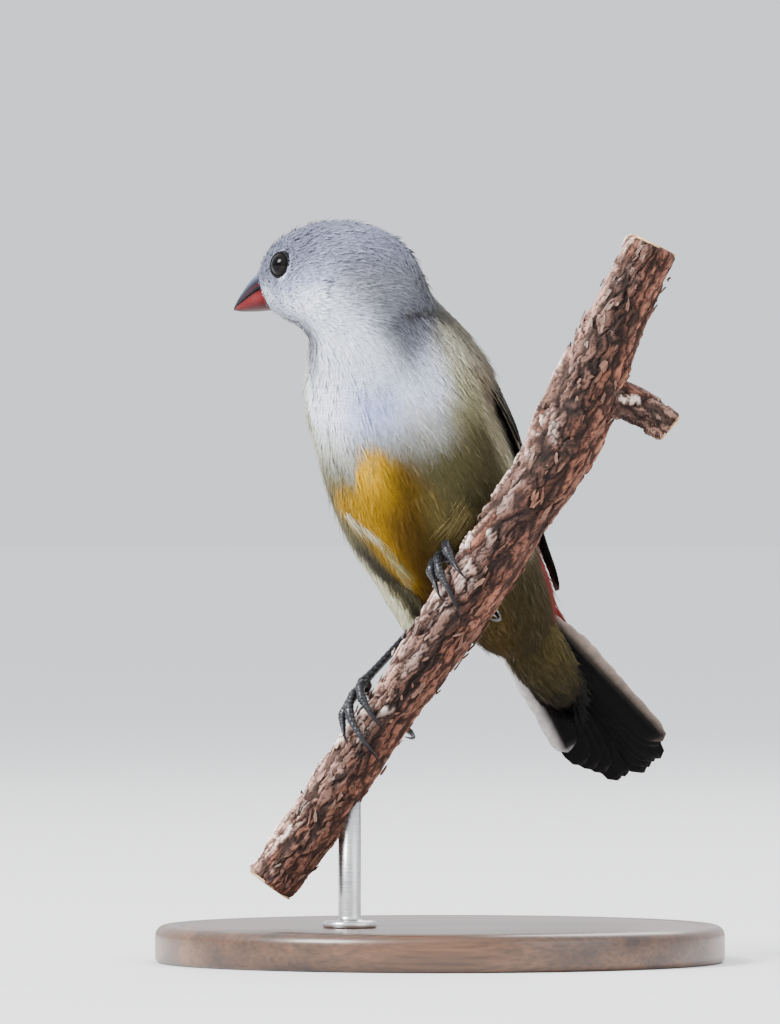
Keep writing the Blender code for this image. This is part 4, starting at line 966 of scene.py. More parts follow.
def vane_section(full_width, root_width, tip_width, pattern_seed):
    """Half width and its ragged edge along a vane, and the height and thickness across it. The edge is frayed
    by short notches where barbs have parted, and the shaft is a low ridge."""
    draw = np.random.default_rng(pattern_seed)
    t = np.linspace(0, 1, VANE_STEPS)
    shares = (1, 1, 0.94, 0.8, 0.5)
    half = along(t, (0, 0.15, 0.7, 0.84, 0.93, 0.98, 1.0), (root_width, *(full_width * np.array(shares)), tip_width))
    fray = 1 - 0.10 * draw.uniform(0, 1, (VANE_STEPS, 2)) ** 3
    ridge = 0.05 * bell((VANE_CROSS + 0.12) / 0.07)
    thick = 0.05 + 0.08 * (1 - np.abs(VANE_CROSS) ** 3)
    edge = np.where(VANE_CROSS[None, :] < 0, fray[:, :1], fray[:, 1:]) ** (np.abs(VANE_CROSS) > 0.7)
    return t, half[:, None] / 2 * VANE_CROSS * edge, 0.10 * (1 - VANE_CROSS**2) + ridge, thick


def vane_loops(upper, lower):
    """Rings round a vane, from its upper and lower side."""
    return np.concatenate([upper, lower[:, ::-1]], axis=1)


def joined(parts):
    """Several closed meshes, each with its tint, put together as one."""
    shifts = np.cumsum([0] + [len(flat) for flat, _, _ in parts[:-1]])
    faces = [outward(flat, triangles) + shift for (flat, triangles, _), shift in zip(parts, shifts)]
    points, _, tints = zip(*parts)
    return np.concatenate(points), np.concatenate(faces), np.concatenate(tints)


def vane_tint(t, across, length, base, edge, edge_width, outer, bars, seed):
    """Colour and barb place of a vane's rings: a base with a soft paler margin on its outer web and tip, fine
    dusky bars, a dark shaft, and barbs 0.22 mm apart that slant away from the shaft."""
    draw = np.random.default_rng(seed)
    t, across = np.broadcast_arrays(t[:, None], across)
    web = across * outer / np.abs(across).max()
    margin = np.maximum(smooth(web, 1 - 2 * edge_width, 1 - 0.6 * edge_width), 0.45 * smooth(t, 0.965, 0.995))
    shade = blend(margin, base, edge)
    if edge_width > 0.3:
        shade = shade * (0.85 + 0.4 * smooth(web, 0.70, 0.96))[..., None]
    wavy = np.sin(2 * math.pi * (t * length + 0.4 * np.abs(across)) / 1.1 + draw.uniform(0, 6))
    shade = shade * (1 + bars * wavy)[..., None] * draw.normal(1, 0.05)
    shade = shade * (1 - 0.45 * bell((VANE_CROSS + 0.12) / 0.05))[None, :, None]
    barb = (t * length + 0.9 * np.abs(across + 0.12 * np.abs(across).max())) / 0.22
    both = np.concatenate([shade, barb[..., None]], axis=-1)
    return vane_loops(both, both)


vane_material, tree, shader = finish(
    "vaned_feathers", Roughness=0.7, IOR=1.54, Sheen_Weight=0.02, Sheen_Roughness=0.4, Specular_IOR_Level=0.07
)
colour, wave = tint_and_wave(tree)
place = add_node(tree, "TexCoord", gives="Object")
mottle = add_node(tree, NOISE, Vector=place, Scale=900.0, Detail=4.0, Roughness=0.65)
ripple = add_node(tree, "Math", {"operation": "MULTIPLY_ADD"}, _0=wave, _1=0.16, _2=mottle)
share = add_node(tree, "MapRange", Value=ripple, From_Min=0.25, From_Max=0.75, To_Min=0.72, To_Max=1.28)
tinted = add_node(tree, "VectorMath", {"operation": "SCALE"}, _0=colour, Scale=share)
bump = add_node(tree, "Bump", Height=ripple, Strength=0.5, Distance=0.00008)
connect(shader, Base_Color=tinted, Normal=bump)


def wing_vane(side, start, end, widths, heights, bow, seed, base, edge, edge_width):
    """One folded feather: its middle line runs along the trunk from start to end (aft, angle), and each point
    across it stands on the body at the height of its tier, one long edge 0.3 mm higher than the middle."""
    root_width, full_width, tip_width = widths
    t, across, bend, thick = vane_section(full_width, root_width, tip_width, seed)
    aft = (start[0] + (end[0] - start[0]) * t)[:, None]
    angle = (start[1] + (end[1] - start[1]) * t + bow * np.sin(math.pi * t))[:, None]
    spread = np.degrees(across / 11.0)  # the folded wing lies about 11 mm from the trunk's middle line
    height = (heights[0] + (heights[1] - heights[0]) * t)[:, None] + 0.30 * VANE_CROSS + bend
    sides = [body_surface(aft, side * (angle + spread), height + sign * thick / 2) for sign in (1, -1)]
    return capped(vane_loops(*sides), vane_tint(t, across, end[0] - start[0], base, edge, edge_width, 1, 0.06, seed))


# Each tier of the wing: how many feathers, the first one's start and the last one's (how far aft, and degrees
# from the back), the same for their tips, widths at the root, the middle and the tip, heights over the body,
# how far the tier bows out, how late the tips spread, its colour and its edge's, and how wide the edge is.
FLIGHT, FLIGHT_EDGE = linear("#171311"), linear("#746a5c")
COVERT, COVERT_EDGE = linear("#29241e"), linear("#776d5d")
DUSKY = COVERT * 0.8
WING_TIERS = (
    (9, (9, 80), (10.5, 68), (46.5, 54), (37, 41), (2.0, 2.3, 0.25), (0.8, 0.85), 4, 1.4, FLIGHT, FLIGHT_EDGE, 0.08),
    (6, (10.5, 72), (12.5, 50), (37, 46), (34.5, 34), (2.0, 2.5, 0.4), (1.0, 1.05), 3, 1, FLIGHT, FLIGHT_EDGE, 0.09),
    (3, (12, 56), (13, 38), (36.5, 38), (30, 24), (2.6, 3.9, 0.6), (1.15, 1.3), 2, 1, DUSKY, COVERT_EDGE, 0.09),
    (9, (7.5, 80), (10.5, 40), (22, 76), (20.5, 36), (1.3, 2.1, 0.5), (1.1, 1.25), 0, 1, DUSKY, COVERT_EDGE, 0.12),
    (8, (7, 78), (8.5, 41), (16, 75), (15, 37), (1.3, 2.0, 0.5), (0.9, 1.3), 0, 1, COVERT, COVERT_EDGE, 0.14),
    (8, (6, 74), (7.5, 40), (13, 72), (12, 37), (1.3, 2.0, 0.5), (0.8, 1.35), 0, 1, COVERT * 1.15, COVERT_EDGE, 0.14),
)
for name, side in (("left", 1.0), ("right", -1.0)):
    nodes = ("wing_" + name,)
    vanes = [[] for _ in WING_TIERS]
    for tier, (number, start, last_start, end, last_end, widths, heights, bow, late, *look) in enumerate(WING_TIERS):
        for i in range(number):
            t = i / (number - 1)
            begin = start[0] + (last_start[0] - start[0]) * t, start[1] + (last_start[1] - start[1]) * t
            tip = end[0] + (last_end[0] - end[0]) * t**late, end[1] + (last_end[1] - end[1]) * t
            seed = int(150 + 50 * side) + 10 * tier + i
            vanes[tier].append(wing_vane(side, begin, tip, widths, heights, bow, seed, *look))
    for group, tiers in (("flight_feathers_", vanes[:3]), ("wing_coverts_", vanes[3:])):
        make_piece(group + name, nodes, "brown_feathers", vane_material, *joined(sum(tiers, [])))
    # Shoulder feathers lie loose over the front of the folded wing, from the side of the neck to the coverts.
    aft = np.linspace(-4, 16.5, 60)[:, None]
    across = np.linspace(0, 1, 44)[None, :]
    angle = 4 + 110 * across
    rise = smooth(aft, -4, 6) * (1 - smooth(aft, 7.0 + 0.04 * (100 - angle), 13.5))
    rise = rise * smooth(angle, 5, 32) * (1 - smooth(angle, 82, 112))
    rise = rise * (1 + 0.08 * waves(np.stack(np.broadcast_arrays(aft, angle / 5, 0.0), axis=-1), 5.0, 71))
    outer = body_surface(aft, side * angle, 1.95 * rise - COAT_DEPTH)
    inner = body_surface(aft, side * angle[:, ::-1], 0.0 * aft - 1.2)
    shoulder = np.concatenate([outer, inner], axis=1)
    flat, faces = capped(shoulder)
    # Painted shade: the bed is darker than the coat, as shade under the shoulder feathers.
    shade, uv = plumage(flat) * 0.85, tube_uv(60, np.arange(88) / 88)
    make_piece("shoulder_bed_" + name, nodes, "pale_olive_plumage", feather_material, flat, faces, shade, uv)

    def on_shoulder(points):
        """All of the pad that isn't sunk in the body."""
        return smooth(body_field(points), -0.7, 0.0) + 0.001

    for group, make, number, sizes in (
        ("shoulder_feathers_", blades, 3400, blade_sizes),
        ("shoulder_barbs_", barbs, 9000, barb_sizes),
    ):
        names = group + name, nodes, "pale_olive_plumage"
        coat(names, make, shoulder, number + int(side), on_shoulder, sizes)

# Tail. Six pairs of stiff, rounded, black feathers, fanned a little, the middle pair on top. The outermost
# pair has pale outer webs. Seen from below they shine, and show their shafts.

TAIL_ROOT = trunk(47.0, 2.0, 1.4)
TAIL_LENGTH, PAIRS = 27.5, 6


def tail(aft, left, dorsal):
    """Points in the tail's own directions, from its root."""
    return TAIL_ROOT + np.stack(np.broadcast_arrays(aft, left, dorsal), axis=-1) @ TAIL


def tail_vane(root_left, spread, length, height, tilt, seed, edge, edge_width, outer):
    """One black tail feather, 4.4 mm wide, turned out by `spread` degrees, with a rounded tip."""
    width, start = 4.4, -1.0
    t, across, bend, thick = vane_section(width, 0.45 * width, 0.1 * width, seed)
    aft = (start + (length - start) * t)[:, None]
    left = root_left + (aft - start) * math.tan(math.radians(spread)) + across
    up = height + tilt * VANE_CROSS + bend + 0 * aft
    sides = [tail(aft, left, up + sign * thick / 2) for sign in (1, -1)]
    shade = vane_tint(t, across, length - start, linear("#0b0b0c"), edge, edge_width, outer, 0.0, seed)
    return capped(vane_loops(*sides), shade)


rectrices = []
for i in range(PAIRS):
    t = i / (PAIRS - 1)
    for side in (-1, 1):
        uneven = 0.5 * math.sin(2.4 * i + side)
        reach = TAIL_LENGTH + 4.0 - 5.5 * t**1.6 - (3.2 * t if side < 0 else -1.2 * t) + uneven
        outermost = ("#d2cccb", 0.50) if side < 0 else ("#8f8177", 0.40)
        margin = outermost if i == PAIRS - 1 else ("#2c2322", 0.08)
        spread = side * (0.9 + (7.6 if side > 0 else 6.6) * t)
        place = side * (0.55 + 1.5 * t), spread, reach, 0.95 - 1.9 * t, -side * 0.14
        rectrices.append(tail_vane(*place, 300 + 2 * i + side, *margin, side))
make_piece("tail_feathers", ("tail",), "black_feathers", vane_material, *joined(rectrices))

# Tail coverts. Above the tail's base lies a fan of crimson feathers, and below it a longer one of loose olive
# buff ones. Each is a soft bed with its own layer of small feathers. A bed is a tapering, domed pad on the upper
# (sign 1) or lower side of the tail. It ends `shift` off the middle, and its colour runs from base to tip.

for name, sign, reach, half_width, low, base, tip, slot, number, size, shift in (
    ("upper_tail_coverts", 1, 12.5, 3.6, 2.2, "#651510", "#42100c", "red_plumage", 2200, 3.2, 0.0),
    ("under_tail_coverts", -1, 14.5, 3.3, 2.4, "#3f361c", "#0d0c08", "olive_plumage", 4200, 4.6, -1.3),
):
    t = np.linspace(0, 1, 40)
    turn = around(48)[None, :]
    wide = half_width * along(t, (0, 0.2, 0.6, 0.85, 1), (0.72, 0.95, 1.0, 0.7, 0.12))[:, None]
    deep = low * along(t, (0, 0.2, 0.6, 0.85, 1), (0.8, 1.0, 0.75, 0.4, 0.1))[:, None]
    middle = sign * 0.55 * low * along(t, (0, 0.3, 1.0), (1.2, 1.25, 0.9))[:, None]
    t = t[:, None]
    up = middle + sign * 0.55 * deep * np.cos(turn)
    grid = tail(-4.0 + (reach + 4.0) * t, shift * t + wide * np.sin(turn), up)

    def colour_at(points):
        """From the base's colour to the tip's along the tail, a little blotched."""
        share = smooth((points - TAIL_ROOT) @ TAIL[0] / reach + 0.12 * waves(points, 3.0, 32), 0.1, 1.0)
        return blend(share, base, tip) * (1 + 0.18 * waves(points, 2.5, 31))[..., None]

    flat, faces = capped(grid)
    # Painted shade: each pad is much darker than its feathers, as shade under them.
    shade, uv = colour_at(flat) * 0.6, tube_uv(40, np.arange(48) / 48)
    make_piece(name + "_pad", (name,), slot, feather_material, flat, faces, shade, uv)
    for group, make, count, width in (("_blades", blades, number, 0.15), ("_barbs", barbs, 3 * number, 0.045)):
        roots, uv, normal, draw = scatter(grid, count)
        direction = unit(TAIL[0] + 0.10 * draw.normal(size=(count, 1)) * TAIL[1])
        direction = square_to(direction, normal)
        length = size * draw.uniform(0.6, 1.2, count)
        lift, colour = np.full(count, 0.10), colour_at(roots)
        names = name + group, (name,), slot
        make(names, roots, direction, normal, length, width * length, lift, uv, colour, draw, 0.12, 0.04)

# Perch. A cut length of pine twig, 9 mm thick. Its bark is layered in thin scales, grey and pinkish where they
# have weathered and orange brown where one has just come off. Raised scales carry a painted highlight, the cracks
# between are painted nearly black as shade, and the twig's sides are painted lighter or darker for the light.

PERCH_Y = -12.0
PERCH_LINE = np.array(  # X and Z of the twig's centre from the lower cut to the upper one, and its radius there
    [(-22.6, 10.6, 3.8), (-16.6, 18.9, 3.9), (-10.0, 28.9, 3.9), (-6.6, 33.8, 3.7), (-0.3, 42.9, 4.2), (5.3, 51.6, 4.5)]
    + [(10.7, 60.3, 4.5), (14.0, 65.0, 4.6), (18.8, 75.0, 5.0), (23.1, 84.9, 4.2), (28.2, 95.4, 3.8)]
)
PERCH_REACH = np.concatenate([[0], np.cumsum(np.hypot(*np.diff(PERCH_LINE[:, :2], axis=0).T))])


def perch(reach):
    """Centre, direction and radius of the twig at distances from its lower cut."""
    place = along(reach, PERCH_REACH, PERCH_LINE)
    centre = np.stack([place[:, 0], np.full(len(place), PERCH_Y), place[:, 1]], axis=1)
    step = along(reach + 0.2, PERCH_REACH, PERCH_LINE) - along(reach - 0.2, PERCH_REACH, PERCH_LINE)
    direction = unit(np.stack([step[:, 0], 0 * step[:, 0], step[:, 1]], axis=1))
    return centre, direction, place[:, 2]


def around_perch(reach, angle, height):
    """Points at a height over the twig's bark. Angle 0 is its upper left side and 90 the viewer's side."""
    reach, angle, height = np.broadcast_arrays(np.asarray(reach, float), np.radians(angle), height)
    centre, direction, radius = perch(reach.ravel())
    upper_left = unit(np.cross(direction, (0.0, 1.0, 0.0)))
    ray = np.cos(angle.ravel())[:, None] * upper_left + np.sin(angle.ravel())[:, None] * (0.0, -1.0, 0.0)
    return (centre + (radius + height.ravel())[:, None] * ray).reshape(*reach.shape, 3)


def cells(x, y, wrap, size_x, size_y, seed):
    """Scales as cells round scattered seeds: for each point, how near the edge between two cells is (0 on it),
    three numbers from 0 to 1 for the nearest cell, and the place within it. The y direction wraps round."""
    draw = np.random.default_rng(seed)
    count = int((x.max() - x.min() + 4) * wrap / (size_x * size_y))
    seeds = np.stack([draw.uniform(x.min() - 2, x.max() + 2, count), draw.uniform(0, wrap, count)], axis=1)
    found = np.empty((4, x.size))
    flat = np.stack([x.ravel(), y.ravel()], axis=1)
    for start in range(0, len(flat), 8000):  # a share at a time, to spare the memory
        part = flat[start : start + 8000]
        dx, dy = (part[:, :1] - seeds[:, 0]) / size_x, part[:, 1:] - seeds[:, 1]
        dy = (dy - wrap * np.round(dy / wrap)) / size_y
        distance = np.sqrt(dx * dx + dy * dy)
        order = np.argpartition(distance, 1, axis=1)[:, :2]
        two = np.take_along_axis(distance, order, axis=1)
        near = np.where(two[:, 0] > two[:, 1], order[:, 1], order[:, 0])
        row = np.arange(len(near))
        found[:, start : start + 8000] = np.abs(two[:, 1] - two[:, 0]), dx[row, near], dy[row, near], near
    gap, across, along_wrap, which = found.reshape(4, *x.shape)
    return gap, draw.uniform(0, 1, (count, 3))[which.astype(int)], across, along_wrap


def bark(x, y, wrap, seed, weathered):
    """Height and colour of the bark at places along and around it, in millimetres. Long jagged scales stand at
    their own heights and tilt up at one end, small ones break them up, and fibres run along them. The
    weathered side is grey and deeply cracked, and the sheltered one smoother and reddish brown. Raised scales
    carry a painted highlight, and the cracks painted shade."""
    turn = 2 * math.pi * y / wrap
    place = np.stack([x, wrap / math.pi * np.cos(turn), wrap / math.pi * np.sin(turn)], axis=-1)
    jag = 0.35 * waves(place, 1.3, seed + 6) + 0.22 * waves(place, 0.6, seed + 7)
    x, y = x + 1.2 * waves(place, 4.5, seed) + jag, y + 0.6 * waves(place, 3.0, seed + 1) + 0.7 * jag
    gap, number, dx, dy = cells(x, y, wrap, 5.2, 1.5, seed)
    small_gap, small, sx, _ = cells(x + 0.3 * waves(place, 1.2, seed + 2), y, wrap, 2.2, 0.6, seed + 3)
    bare = smooth(number[..., 2], 0.93, 0.95) * smooth(gap, 0.02, 0.15)
    rough = 0.5 + 0.5 * weathered
    height = rough * (0.62 * (number[..., 0] - 0.5) + 0.30 * dx * (number[..., 1] - 0.2) - 0.12 * dy)
    height = height - 0.60 * rough * (1 - smooth(gap, 0.0, 0.30))
    flaky = (0.30 * (small[..., 0] - 0.5) + 0.16 * sx - 0.2 * (1 - smooth(small_gap, 0.0, 0.25))) * (1 - 0.8 * bare)
    fibre = 0.05 * waves(place * (0.5, 3.0, 3.0), 0.7, seed + 4) + 0.05 * waves(place * (0.8, 2.0, 2.0), 0.35, seed + 5)
    height = height + rough * flaky + fibre - 0.3 * bare
    grey = blend(small[..., 1], "#bf998a", "#7d5c50")
    grey = blend(0.9 * number[..., 1] ** 1.2, grey, "#5a3f36")
    # Painted highlight: the higher a scale stands, the lighter it is.
    grey = blend(0.85 * smooth(height, 0.0, 0.5), grey, "#e4d6ce")
    brown = blend(number[..., 1], "#74493a", "#4d3329")
    shade = blend(weathered * (0.75 + 0.25 * small[..., 2]), brown, grey)
    shade = blend(bare, shade, "#74493a")
    # Painted shade: the cracks go nearly black in their depth.
    crack = 1 - smooth(np.minimum(gap, 0.8 * small_gap + 0.06), 0.05, 0.34)
    shade = blend(0.92 * crack, shade, "#130b09")
    return height, shade


rough = {"Roughness": 0.86, "IOR": 1.45, "Specular_IOR_Level": 0.3}
dust = {"Scale": 1100.0, "Detail": 6.0, "Roughness": 0.7}
bark_material = grained("pine_bark", NOISE, dust, (0.3, 0.7, 0.62, 1.38), (0.8, 0.00025), **rough)
STEM_AROUND, STEM_SEED = 27.0, 11


def from_lit_side(angle):
    """Degrees round the twig from its upper left side, either way."""
    return np.abs((angle + 180) % 360 - 180)


reach, angle = np.linspace(0, PERCH_REACH[-1], 540), np.linspace(0, 360, 180, endpoint=False)
reach, angle = np.meshgrid(reach, angle, indexing="ij")
patchy = 22 * waves(around_perch(reach, angle, 0 * reach), 5.0, 12)
weathered = 1 - smooth(from_lit_side(angle - 5) + patchy, 40, 100)
height, shade = bark(reach, angle / 360 * STEM_AROUND, STEM_AROUND, STEM_SEED, weathered)
# Painted light and shade: the side facing the viewer is darker, and the lit upper left side, the lower right side and
# the lower end are painted lighter.
painted_shade_to_viewer = bell((angle - 82) / 26) * (1 - 0.8 * smooth(height, 0.1, 0.4))
sheltered = smooth(angle, 112, 148) * (1 - smooth(angle, 200, 240))
lit_side = 1 - smooth(from_lit_side(angle), 25, 60)
shade = shade * (1 - 0.38 * painted_shade_to_viewer + 1.1 * sheltered + 0.85 * lit_side + 0.5 * (1 - smooth(reach, 6, 22)))[..., None]
knot = bell((reach - 71.5) / 4.0)
rounded = 0.5 * (1 - smooth(reach, 0, 0.5)) + 0.5 * (1 - smooth(PERCH_REACH[-1] - reach, 0, 0.5))
stem = around_perch(reach, angle, -0.30 + 0.8 * height + 0.35 * knot - rounded)
make_piece("bark_stem", ("perch_branch",), "pine_bark", bark_material, *capped(stem, shade))


def tube_rows(path, radius, sides, reference):
    """Rings round a path. Angle 0 is the side towards `reference`, and radius may vary along and around."""
    step = unit(np.gradient(path, axis=0))
    out = square_to(reference, step)
    across = np.cross(step, out)
    turn = around(sides)[None, :, None]
    ring = np.cos(turn) * out[:, None] + np.sin(turn) * across[:, None]
    return path[:, None] + np.broadcast_to(radius, (len(path), sides))[..., None] * ring


# The side twig's stub leaves the stem at a knot and bends down to its cut.

TWIG_START, TWIG_BEND, TWIG_END = np.array([(17.6, PERCH_Y, 76.0), (25.5, PERCH_Y, 75.2), (30.4, PERCH_Y, 71.0)])
TWIG_RADIUS, TWIG_LENGTH, TWIG_AROUND = 2.3, 15.0, 14.5
NEAR = np.array([0.0, -1.0, 0.0])
t = np.linspace(0, 1, 110)[:, None]
twig_path = (1 - t) ** 2 * TWIG_START + 2 * t * (1 - t) * TWIG_BEND + t**2 * TWIG_END
reach, girth = np.broadcast_arrays(TWIG_LENGTH * t, np.arange(80)[None, :] / 80 * TWIG_AROUND)
height, shade = bark(reach, girth, TWIG_AROUND, 47, 0.8 + 0 * reach)
radius = TWIG_RADIUS * (1.45 - 0.75 * t + 0.3 * t**2) + 0.6 * height - 0.3 * (1 - smooth(1 - t, 0, 0.04))
rows = tube_rows(twig_path, radius, 80, NEAR)
make_piece("bark_side_twig", ("perch_branch",), "pine_bark", bark_material, *capped(rows, shade))

# Loose scales of bark lift at one edge. Each is a thin chip with an uneven outline.

CHIPS, CORNERS = 430, 9
draw = np.random.default_rng(77)
reach, angle = draw.uniform(1.5, PERCH_REACH[-1] - 1.5, CHIPS), draw.uniform(0, 360, CHIPS)
sheltered = smooth(from_lit_side(angle - 5), 40, 95)
ground, under_chip = bark(reach, angle / 360 * STEM_AROUND, STEM_AROUND, STEM_SEED, 1 - sheltered)
spot = around_perch(reach, angle, ground - 0.14)
out = unit(around_perch(reach, angle, 1.0 + 0 * reach) - spot)
lengthwise = perch(reach)[1]
swing = draw.normal(0, 0.35, (CHIPS, 1))
lengthwise = unit(lengthwise + swing * np.cross(out, lengthwise))
crosswise = np.cross(out, lengthwise)
turn = around(CORNERS)[None, :]
uneven = draw.uniform(0.4, 1.25, (CHIPS, CORNERS))
long, wide = draw.uniform(0.4, 1.25, (CHIPS, 1)), draw.uniform(0.14, 0.38, (CHIPS, 1))
u, v = long * uneven * np.cos(turn), wide * uneven * np.sin(turn)
rise = 0.12 + draw.uniform(0.0, 0.22, (CHIPS, 1)) * (u / long) + 0.10 * (v / wide) ** 2
flat = u[..., None] * lengthwise[:, None] + v[..., None] * crosswise[:, None]
top = spot[:, None] + flat + rise[..., None] * out[:, None]
low = spot[:, None] + 0.86 * flat + (rise - 0.16)[..., None] * out[:, None]
points = np.concatenate([top, low, (spot + 0.16 * out)[:, None], (spot - 0.04 * out)[:, None]], axis=1)
j = np.arange(CORNERS)
n = (j + 1) % CORNERS
crown, bottom = 0 * j + 2 * CORNERS, 0 * j + 2 * CORNERS + 1
corners = (j, n, crown), (j + CORNERS, n + CORNERS, n), (j + CORNERS, n, j), (n + CORNERS, j + CORNERS, bottom)
chip = np.concatenate([np.stack(triangle, axis=1) for triangle in corners])
faces = (np.arange(CHIPS)[:, None, None] * (2 * CORNERS + 2) + chip).reshape(-1, 3)
shade = blend(0.5 * draw.uniform(0, 1, CHIPS), under_chip, "#a8958c")
# Painted light and shade: each chip's top is painted lighter and its underside darker.
lights = np.concatenate([np.full(CORNERS, 1.15), np.full(CORNERS, 0.4), [0.95, 0.3]])
shade = (blend(0.7 * sheltered, shade, "#62402f")[:, None] * lights[None, :, None]).reshape(-1, 3)
nodes = ("perch_branch",)
make_piece("bark_scales", nodes, "pine_bark", bark_material, points, faces, shade, soft=False)

# The three sawn ends show pale wood with growth rings round a small pith.

dull = {"Roughness": 0.72, "IOR": 1.45}
sawn = {"Scale": 2500.0, "Detail": 5.0, "Roughness": 0.7}
wood_material = grained("sawn_pine", NOISE, sawn, (0.3, 0.7, 0.8, 1.15), (0.5, 0.0001), **dull)
RING_STEP = 0.45
off = np.linspace(0.02, 1, 30)[:, None]
turn = around(60)[None, :]
for name, centre, direction, way, radius in (
    ("lower", *[v[0] for v in perch(np.array([0.0]))[:2]], -1, 3.05),
    ("upper", *[v[0] for v in perch(PERCH_REACH[-1:])[:2]], 1, 3.05),
    ("side", TWIG_END, unit(TWIG_END - TWIG_BEND), 1, 1.9),
):
    face = unit(np.cross(direction, (0.0, 1.0, 0.0)))
    flank = np.cross(direction, face)
    wobble = 1 + 0.05 * np.sin(2 * turn + 1) + 0.03 * np.sin(5 * turn)
    ray = np.cos(turn)[..., None] * face + np.sin(turn)[..., None] * flank
    disc = centre + (off * radius * wobble)[..., None] * ray
    dome = (0.12 - 0.1 * off**6 + 0.01 * np.sin(off * radius * 2 * math.pi / RING_STEP)) + 0 * turn
    disc = disc + way * dome[..., None] * direction
    rows = np.concatenate([disc, disc[-1:] - way * 0.25 * direction])
    rings = 0.5 + 0.5 * np.sin(off * wobble * radius * 2 * math.pi / RING_STEP + 0.4 * np.sin(3 * turn))
    pith = np.broadcast_to(1 - smooth(off, 0.05, 0.12), rings.shape)
    shade = blend(pith, blend(rings**2, "#cfae7f", "#9a7046"), "#5a3a22")
    shade = np.concatenate([shade, shade[-1:]])
    make_piece("sawn_end_" + name, ("perch_branch",), "pine_bark", wood_material, *capped(rows, shade))

# Thighs. The upper legs are feathered down to the heel. The left one is olive buff with loose pale strands,
# and the right one is cream on its outer side and dusky where it turns in to the belly, with painted shadow there.

HEEL = {"left": np.array([5.3, -3.5, 49.9]), "right": np.array([-3.7, -2.8, 44.3])}
THIGH_TOP = {"left": trunk(31.0, 5.2, -7.4), "right": trunk(27.5, -8.6, -4.4)}
THIGH_RADII = {"left": (4.4, 1.35), "right": (4.9, 1.0)}


def thigh_colour(side, points):
    """Cream to the outside and dusky to the inside of the right thigh, with painted shadow over the dusky side, and
    olive buff all round the left.
    """
    soft = waves(points, 2.5, 61)
    if side == "left":
        return blend(smooth(soft, -0.4, 0.6), "#5d5230", "#79704c")
    cream = drawn(points, (352, 548), (374, 584), (400, 612), (420, 632)) + 0.3 * soft
    # Partly painted shadow: the dusky inside is dark feathers darkened further as shade against the belly.
    dusky = drawn(points, (358, 541), (377, 560), (400, 583), (424, 612)) + 0.2 * soft
    shade = blend(smooth(cream, 0.9, 1.8), "#aaa88c", "#5b5540")
    return blend(0.9 * (1 - smooth(dusky, 0.3, 0.9)), shade, "#2f2b20")


for side in HEEL:
    t = np.linspace(0, 1, 60)
    path = THIGH_TOP[side] * (1 - t)[:, None] + HEEL[side] * t[:, None]
    thick, thin = THIGH_RADII[side]
    size = (thin + (thick - thin) * (1 - t) ** 0.9) * np.where(t > 0.9, 1 - 2 * (t - 0.9), 1) - 0.35
    grid = tube_rows(path, size[:, None], 40, NEAR)
    flat, faces = capped(grid)
    # Painted shade: the skin is much darker than the thigh's feathers, as shade under them.
    shade, uv = thigh_colour(side, flat) * 0.6, tube_uv(60, np.arange(40) / 40)
    nodes, slot = ("thigh_" + side,), "pale_olive_plumage"
    make_piece("thigh_skin_" + side, nodes, slot, feather_material, flat, faces, shade, uv)
    for group, make, number in (("thigh_feathers_", blades, 2600), ("thigh_barbs_", barbs, 7500)):
        roots, uv, normal, draw = scatter(grid, number)
        line = unit(HEEL[side] - THIGH_TOP[side])
        direction = unit(line + 0.10 * draw.normal(size=(number, 1)) * np.cross(line, normal))
        direction = unit(direction - 0.9 * normal * np.sum(direction * normal, axis=1, keepdims=True))
        length = 2.4 * draw.uniform(0.7, 1.2, number)
        length = np.minimum(length, 0.9 * np.linalg.norm(roots - HEEL[side], axis=1) + 0.7)
        width = 0.10 * length + 0.05 if make is blades else np.full(number, 0.10)
        names, lift, colour = (group + side, nodes, slot), np.full(number, 0.09), thigh_colour(side, roots)
        make(names, roots, direction, normal, length, width, lift, uv, colour, draw, 0.14, 0.0)

# Legs and feet. Bare skin covered by overlapping horny plates, blackish grey: long ones down the front of the
# shank, and a close row over each toe. The soles are padded and pebbled.

TOES = {  # per foot and toe: places along the twig, angles round it, how high each joint stands, claw tip
    "left": {
        "inner": ((50.6, 50.6, 49.8, 49.0), (-18, 8, 30, 48), (0.4, 0.6, 0.5, 0.0), (48.2, 74)),
        "middle": ((49.4, 48.4, 46.9, 46.0), (-18, 14, 40, 56), (0.4, 0.7, 0.5, 0.0), (43.6, 100)),
        "outer": ((48.6, 47.6, 46.4, 45.6), (-20, 2, 20, 32), (0.4, 0.8, 0.7, 0.1), (44.0, 60)),
        "hind": ((48.6, 47.6, 46.8, 46.4), (-46, -84, -120, -148), (0.3, 0.25, 0.15, 0.2), (45.4, -212)),
    },
    "right": {
        "inner": ((29.0, 28.2, 27.2, 26.5), (-10, 18, 42, 62), (0.5, 0.5, 0.4, 0.0), (25.6, 104)),
        "middle": ((28.3, 26.5, 24.4, 23.1), (-10, 14, 44, 76), (0.5, 0.6, 0.5, 0.0), (21.8, 128)),
        "outer": ((27.6, 25.7, 23.9, 22.8), (-14, 4, 22, 38), (0.3, 0.35, 0.3, 0.05), (21.4, 60)),
        "hind": ((28.2, 27.6, 27.4, 27.2), (-46, -84, -120, -148), (0.3, 0.25, 0.15, 0.2), (26.4, -212)),
    },
}
PALM = {"left": (49.6, -22.0), "right": (28.8, -18.0)}
STAND_OFF = 0.3

plates = {"Roughness": 0.3, "IOR": 1.5, "Specular_IOR_Level": 0.42}
leg_material = grained("scaly_leg_skin", CELLS, {"Scale": 4200.0}, (0.0, 0.7, 1.25, 0.7), (0.35, 0.00006), **plates)


